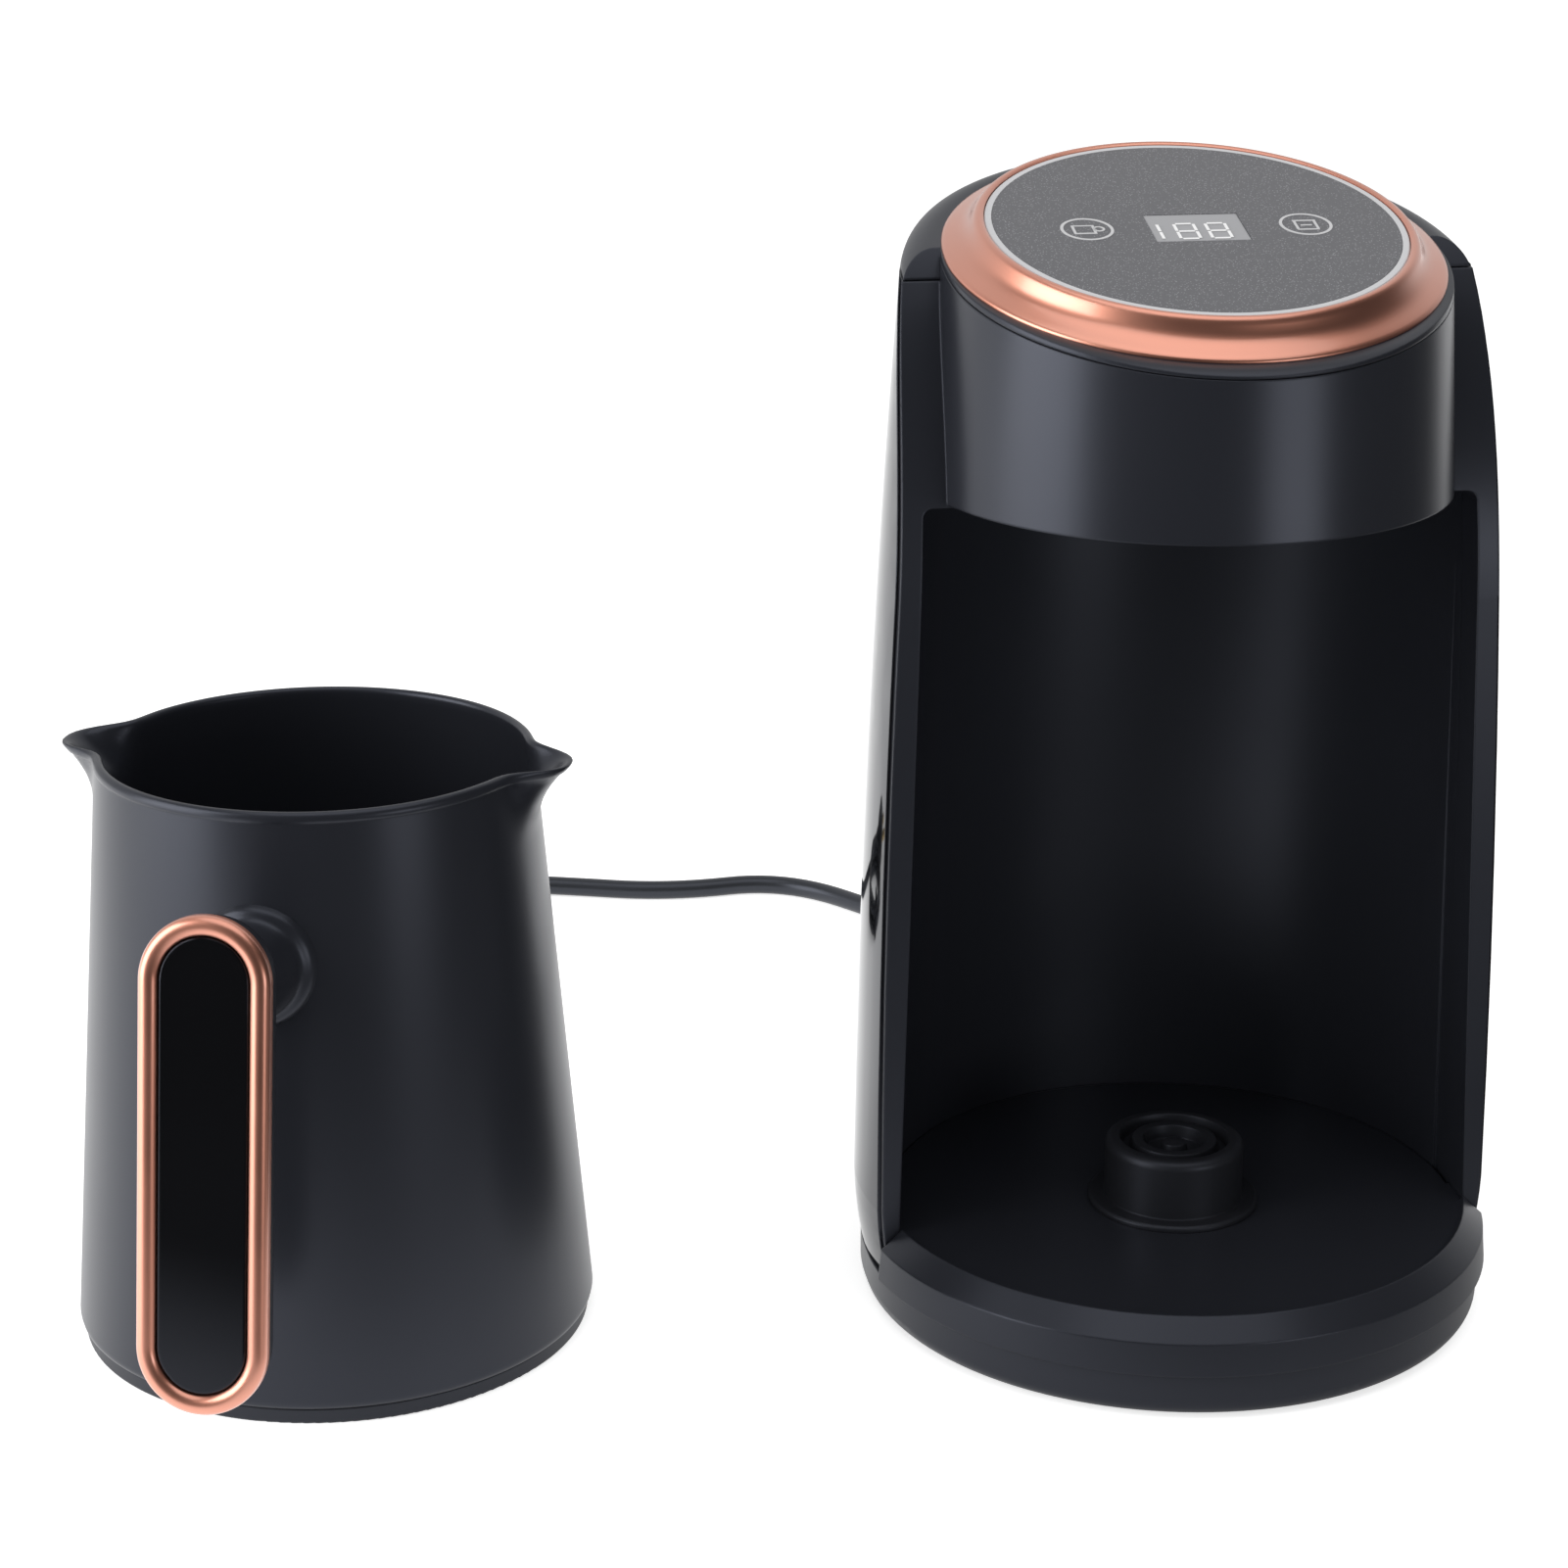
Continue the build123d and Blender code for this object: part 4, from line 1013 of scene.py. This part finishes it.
    def neck(self) -> RingLoft:
        """Draw the neck out of the wall, from a wide rounded root to the grip.

        Returns:
            The finished loops.
        """
        rules = [self.stalk(across, out, 0.0) for across, out in self.neck_base]
        for across, out in self.neck_root:
            rules.append(self.stalk(across, out, min(1.0, out / self.neck_level) ** 2))
        end = -self.radius(-math.pi / 2, self.neck_z) - self.neck_end
        rules += [self.stalk(across, end, 1.0) for across in self.neck_tip]
        return RingLoft(self.neck_segments).follow(rules)

    def build(self, material: bpy.types.Material) -> None:
        """Make the jug's body.

        Args:
            material: Material of the wall.
        """
        for name, loft in (("jug_wall", self.shell()), ("jug_neck", self.neck())):
            loft.stand(JUG_PLACE, JUG_TURN_DEG)
            piece = new_piece(name, loft.mesh, material, JUG)
            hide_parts("jug_shell")


@dataclass
class HandleFrame:
    """Round-faced metal frame of the handle's paddle, as loops round a slot shape.

    Attributes:
        top: Upper end of the paddle, as Y and Z in the jug's own frame.
        low: Lower end of the paddle, likewise.
        width: Width of the frame.
        bar: Width of the frame's bar.
        foot: Height of the bar's underside over the paddle's plane.
        spring: Height where the bar's round face begins.
        crown: Height of the round face.
        crown_steps: Steps across the round face.
        bend_share: Share of a loop's points that lies on the two bends.
        segments: Points of a loop.
    """

    top: Pair = (-89.0, 140.0)
    low: Pair = (-110.0, 26.0)
    width: float = 31.0
    bar: float = 4.8
    foot: float = -3.3
    spring: float = -1.7
    crown: float = 0.5
    crown_steps: int = 12
    bend_share: float = 0.7
    segments: int = 160

    def at(self, inset: float, height: float) -> Rule:
        """Rule of a loop round the slot shape.

        Args:
            inset: How far the loop is drawn in from the outside.
            height: Height over the paddle's plane.

        Returns:
            The rule.
        """
        lean = Vector((0, self.top[0] - self.low[0], self.top[1] - self.low[1]))
        middle = Vector((0, (self.top[0] + self.low[0]) / 2, (self.top[1] + self.low[1]) / 2))
        reach = (lean.length - self.width) / 2
        up = lean.normalized()
        out = Vector((0, -up.z, up.y))
        radius = self.width / 2 - inset

        def rule(angle: float) -> Point:
            share = (angle / (2 * math.pi)) % 1.0
            half, along = divmod(2 * share, 1.0)
            turn = math.pi * min(1.0, along / self.bend_share)
            run = max(0.0, (along - self.bend_share) / (1 - self.bend_share))
            side = 1 if half < 1 else -1
            x = side * radius * math.cos(turn)
            v = side * (radius * math.sin(turn) + reach * (1 - 2 * run))
            return tuple(middle + Vector((x, 0, 0)) + up * v + out * height)

        return rule

    def build(self, material: bpy.types.Material) -> None:
        """Make the frame.

        Args:
            material: Metal of the frame.
        """
        half = self.bar / 2
        rules = [self.at(0.0, self.foot)]
        for step in range(self.crown_steps + 1):
            turn = math.pi * step / self.crown_steps
            rise = self.spring + (self.crown - self.spring) * math.sin(turn)
            rules.append(self.at(half - half * math.cos(turn), rise))
        rules += [self.at(self.bar, self.foot), self.at(0.0, self.foot)]
        loft = RingLoft(self.segments).follow(rules)
        loft.stand(JUG_PLACE, JUG_TURN_DEG)
        piece = new_piece("handle_trim", loft.mesh, material, JUG)
        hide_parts("handle_frame")


@dataclass
class ControlPanel:
    """Trim ring and marks of the tilted touch panel, in millimetres on the panel's own plane.

    Attributes:
        centre: Middle of the plane in the object's frame.
        tilt_deg: How far the plane leans to the front.
        face: Height of the panel's face over the plane.
        shoulder: First rows of the ring's profile from the outside in, as radius and height.
        cove: Next rows, up the steep hollow.
        lip: Next rows, over the round lip.
        ledge: Last rows, round the ledge under the panel.
        ring_steps: Steps round the trim ring.
        print_h: Thickness of a mark.
        mark_steps: Steps round a mark's ring.
        key_x: Distance of a key from the middle.
        key_v: Place of the keys along the panel.
        key_r: Radius of a key.
        key_line: Width of a key's line.
        cup: Bars of the left key's sign, each as its centre, width and height.
        cup_ear: Centre across, radius and line of the cup's ear.
        jar: Bars of the right key's sign.
        digits: Upright strokes of each digit, in half widths from its middle.
        digit_at: Centre of the middle digit.
        digit_w: Width between a digit's upright strokes.
        digit_h: Height between a digit's level strokes.
        digit_gap: Distance between digits.
        stroke: Width of a stroke.
        upright_cut: By how many stroke widths an upright stroke is shortened.
        level_cut: The same for a level stroke.
    """

    centre: Point = (0.0, 13.5, 268.7)
    tilt_deg: float = 14.1
    face: float = 7.3
    shoulder: tuple[Pair, ...] = (
        (61.4, 0.02),
        (61.4, 0.35),
        (61.15, 0.75),
        (60.4, 1.15),
        (59.2, 1.65),
        (57.9, 2.2),
    )
    cove: tuple[Pair, ...] = ((56.7, 2.85), (55.7, 3.7), (54.9, 4.8), (54.3, 6.0))
    lip: tuple[Pair, ...] = ((53.85, 6.9), (53.3, 7.5), (52.6, 7.75), (51.95, 7.68), (51.52, 7.4))
    ledge: tuple[Pair, ...] = ((51.52, 5.1), (44.0, 5.1), (44.0, 2.7), (53.4, 2.7), (53.4, 0.02))
    ring_steps: int = 180
    print_h: float = 0.12
    mark_steps: int = 48
    key_x: float = 27.1
    key_v: float = -0.5
    key_r: float = 6.5
    key_line: float = 0.75
    cup: tuple[Bar, ...] = (
        (-0.8, -2.5, 5.6, 0.65),
        (-3.3, -0.2, 0.65, 4.0),
        (1.7, -0.2, 0.65, 4.0),
        (-0.8, 2.0, 5.6, 0.55),
    )
    cup_ear: Point = (2.9, 1.5, 0.55)
    jar: tuple[Bar, ...] = (
        (0.0, -3.0, 5.4, 0.65),
        (-2.5, -0.5, 0.65, 4.6),
        (2.5, -0.5, 0.65, 4.6),
        (0.0, 2.2, 5.8, 0.65),
        (0.0, -0.5, 2.8, 0.6),
    )
    digits: tuple[tuple[float, ...], ...] = ((0.5,), (-1.0, 1.0), (-1.0, 1.0))
    digit_at: Pair = (-3.0, -3.0)
    digit_w: float = 4.8
    digit_h: float = 8.8
    digit_gap: float = 7.8
    stroke: float = 0.75
    upright_cut: float = 0.8
    level_cut: float = 1.3

    def mount(self, name: str, mesh: bmesh.types.BMesh, material: bpy.types.Material) -> bpy.types.Object:
        """Move a shape from the panel's plane to its place, and make it a piece.

        Args:
            name: Piece name.
            mesh: Shape on the panel's plane, in millimetres.
            material: Material for all its faces.

        Returns:
            The new object.
        """
        tilt = Matrix.Rotation(math.radians(self.tilt_deg), 4, "X")
        place = Matrix.Scale(MM, 4) @ Matrix.Translation(self.centre) @ tilt
        bmesh.ops.transform(mesh, matrix=place, verts=mesh.verts)
        return new_piece(name, mesh, material, DOCK)

    def bar_at(self, mesh: bmesh.types.BMesh, x: float, v: float, w: float, h: float) -> None:
        """Add one thin flat bar on the panel.

        Args:
            mesh: Bmesh that gets the bar.
            x: Bar centre across the panel.
            v: Bar centre along the panel.
            w: Width of the bar.
            h: Height of the bar.
        """
        size = Matrix.Diagonal((w, h, self.print_h, 1))
        place = Matrix.Translation((x, v, self.face + self.print_h / 2))
        bmesh.ops.create_cube(mesh, size=1.0, matrix=place @ size)

    def spin_round(self, mesh: bmesh.types.BMesh, outline: list[Point], centre: Point, steps: int) -> None:
        """Spin a closed outline once round an axis that stands on the panel.

        Args:
            mesh: Bmesh that gets the shape.
            outline: Corners of the outline.
            centre: Point of the axis.
            steps: Steps of the full turn.
        """
        verts = [mesh.verts.new(corner) for corner in outline]
        edges = [mesh.edges.new(pair) for pair in zip(verts, verts[1:] + verts[:1])]
        bmesh.ops.spin(
            mesh,
            geom=verts + edges,
            cent=centre,
            axis=(0, 0, 1),
            angle=math.radians(360),
            steps=steps,
            use_merge=True,
            use_duplicate=False,
        )

    def ring_at(self, mesh: bmesh.types.BMesh, x: float, v: float, radius: float, width: float) -> None:
        """Add one thin flat ring on the panel.

        Args:
            mesh: Bmesh that gets the ring.
            x: Ring centre across the panel.
            v: Ring centre along the panel.
            radius: Outer radius.
            width: Width of the line.
        """
        inner, low, high = radius - width, self.face, self.face + self.print_h
        corners = [(radius, low), (inner, low), (inner, high), (radius, high)]
        outline = [(x + reach, v, rise) for reach, rise in corners]
        self.spin_round(mesh, outline, (x, v, 0.0), self.mark_steps)

    def ring(self, material: bpy.types.Material) -> None:
        """Turn the trim ring: broad shoulder, steep cove and round lip, with the panel's ledge inside.

        Args:
            material: Metal of the ring.
        """
        rows = self.shoulder + self.cove + self.lip + self.ledge
        outline = [(reach, 0.0, rise) for reach, rise in rows]
        mesh = bmesh.new()
        self.spin_round(mesh, outline, (0.0, 0.0, 0.0), self.ring_steps)
        piece = self.mount("head_ring", mesh, material)
        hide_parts("trim_ring")

    def keys(self, material: bpy.types.Material) -> None:
        """Print two round keys: a cup on the left and a jar on the right.

        Args:
            material: Print material, with a faint painted glow.
        """
        mesh = bmesh.new()
        for key, sign in ((-self.key_x, self.cup), (self.key_x, self.jar)):
            self.ring_at(mesh, key, self.key_v, self.key_r, self.key_line)
            for x, v, w, h in sign:
                self.bar_at(mesh, key + x, self.key_v + v, w, h)
        ear, radius, line = self.cup_ear
        self.ring_at(mesh, ear - self.key_x, self.key_v, radius, line)
        piece = self.mount("key_marks", mesh, material)

    def display(self, material: bpy.types.Material) -> None:
        """Light three plain digits in the window.

        Args:
            material: Digit material.
        """
        mesh = bmesh.new()
        half_w, half_h, stroke = self.digit_w / 2, self.digit_h / 2, self.stroke
        upright = half_h - self.upright_cut * stroke
        level = self.digit_w - self.level_cut * stroke
        v = self.digit_at[1]
        for place, sides in enumerate(self.digits, -1):
            x = self.digit_at[0] + place * self.digit_gap
            for side in sides:
                for rise in (-half_h / 2, half_h / 2):
                    self.bar_at(mesh, x + side * half_w, v + rise, stroke, upright)
            if len(sides) > 1:
                for rise in (-half_h, 0.0, half_h):
                    self.bar_at(mesh, x, v + rise, level, stroke)
        piece = self.mount("display_digits", mesh, material)

    def build(self, paints: Paints) -> None:
        """Make the ring and all marks.

        Args:
            paints: Materials by finish name.
        """
        self.ring(paints["rose_gold"])
        self.keys(paints["panel_print"])
        self.display(paints["display_digits"])


def dress_nodes(frame: dict, paints: Paints) -> None:
    """Give every shape that stays its finish, by its slot in the record.

    Args:
        frame: Loaded frame.
        paints: Materials by finish name.
    """
    for row in frame["record"]["subparts"]:
        dress(frame["nodes"][row["node"]], paints[row["material_slot"]])
        LOG.info("node %s in %s", row["node"], row["material_slot"])


def main() -> None:
    """Build the scene piece by piece."""
    logging.basicConfig(level=logging.INFO, format="%(message)s")
    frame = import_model()
    paints = Palette().make()
    Studio().build()
    dress_nodes(frame, paints)
    MainsCord().build(paints["cord_grey"])
    JugBody().build(paints["matte_blue_black"])
    HandleFrame().build(paints["rose_gold"])
    ControlPanel().build(paints)
    bpy.context.view_layer.update()


if __name__ == "__main__":
    main()
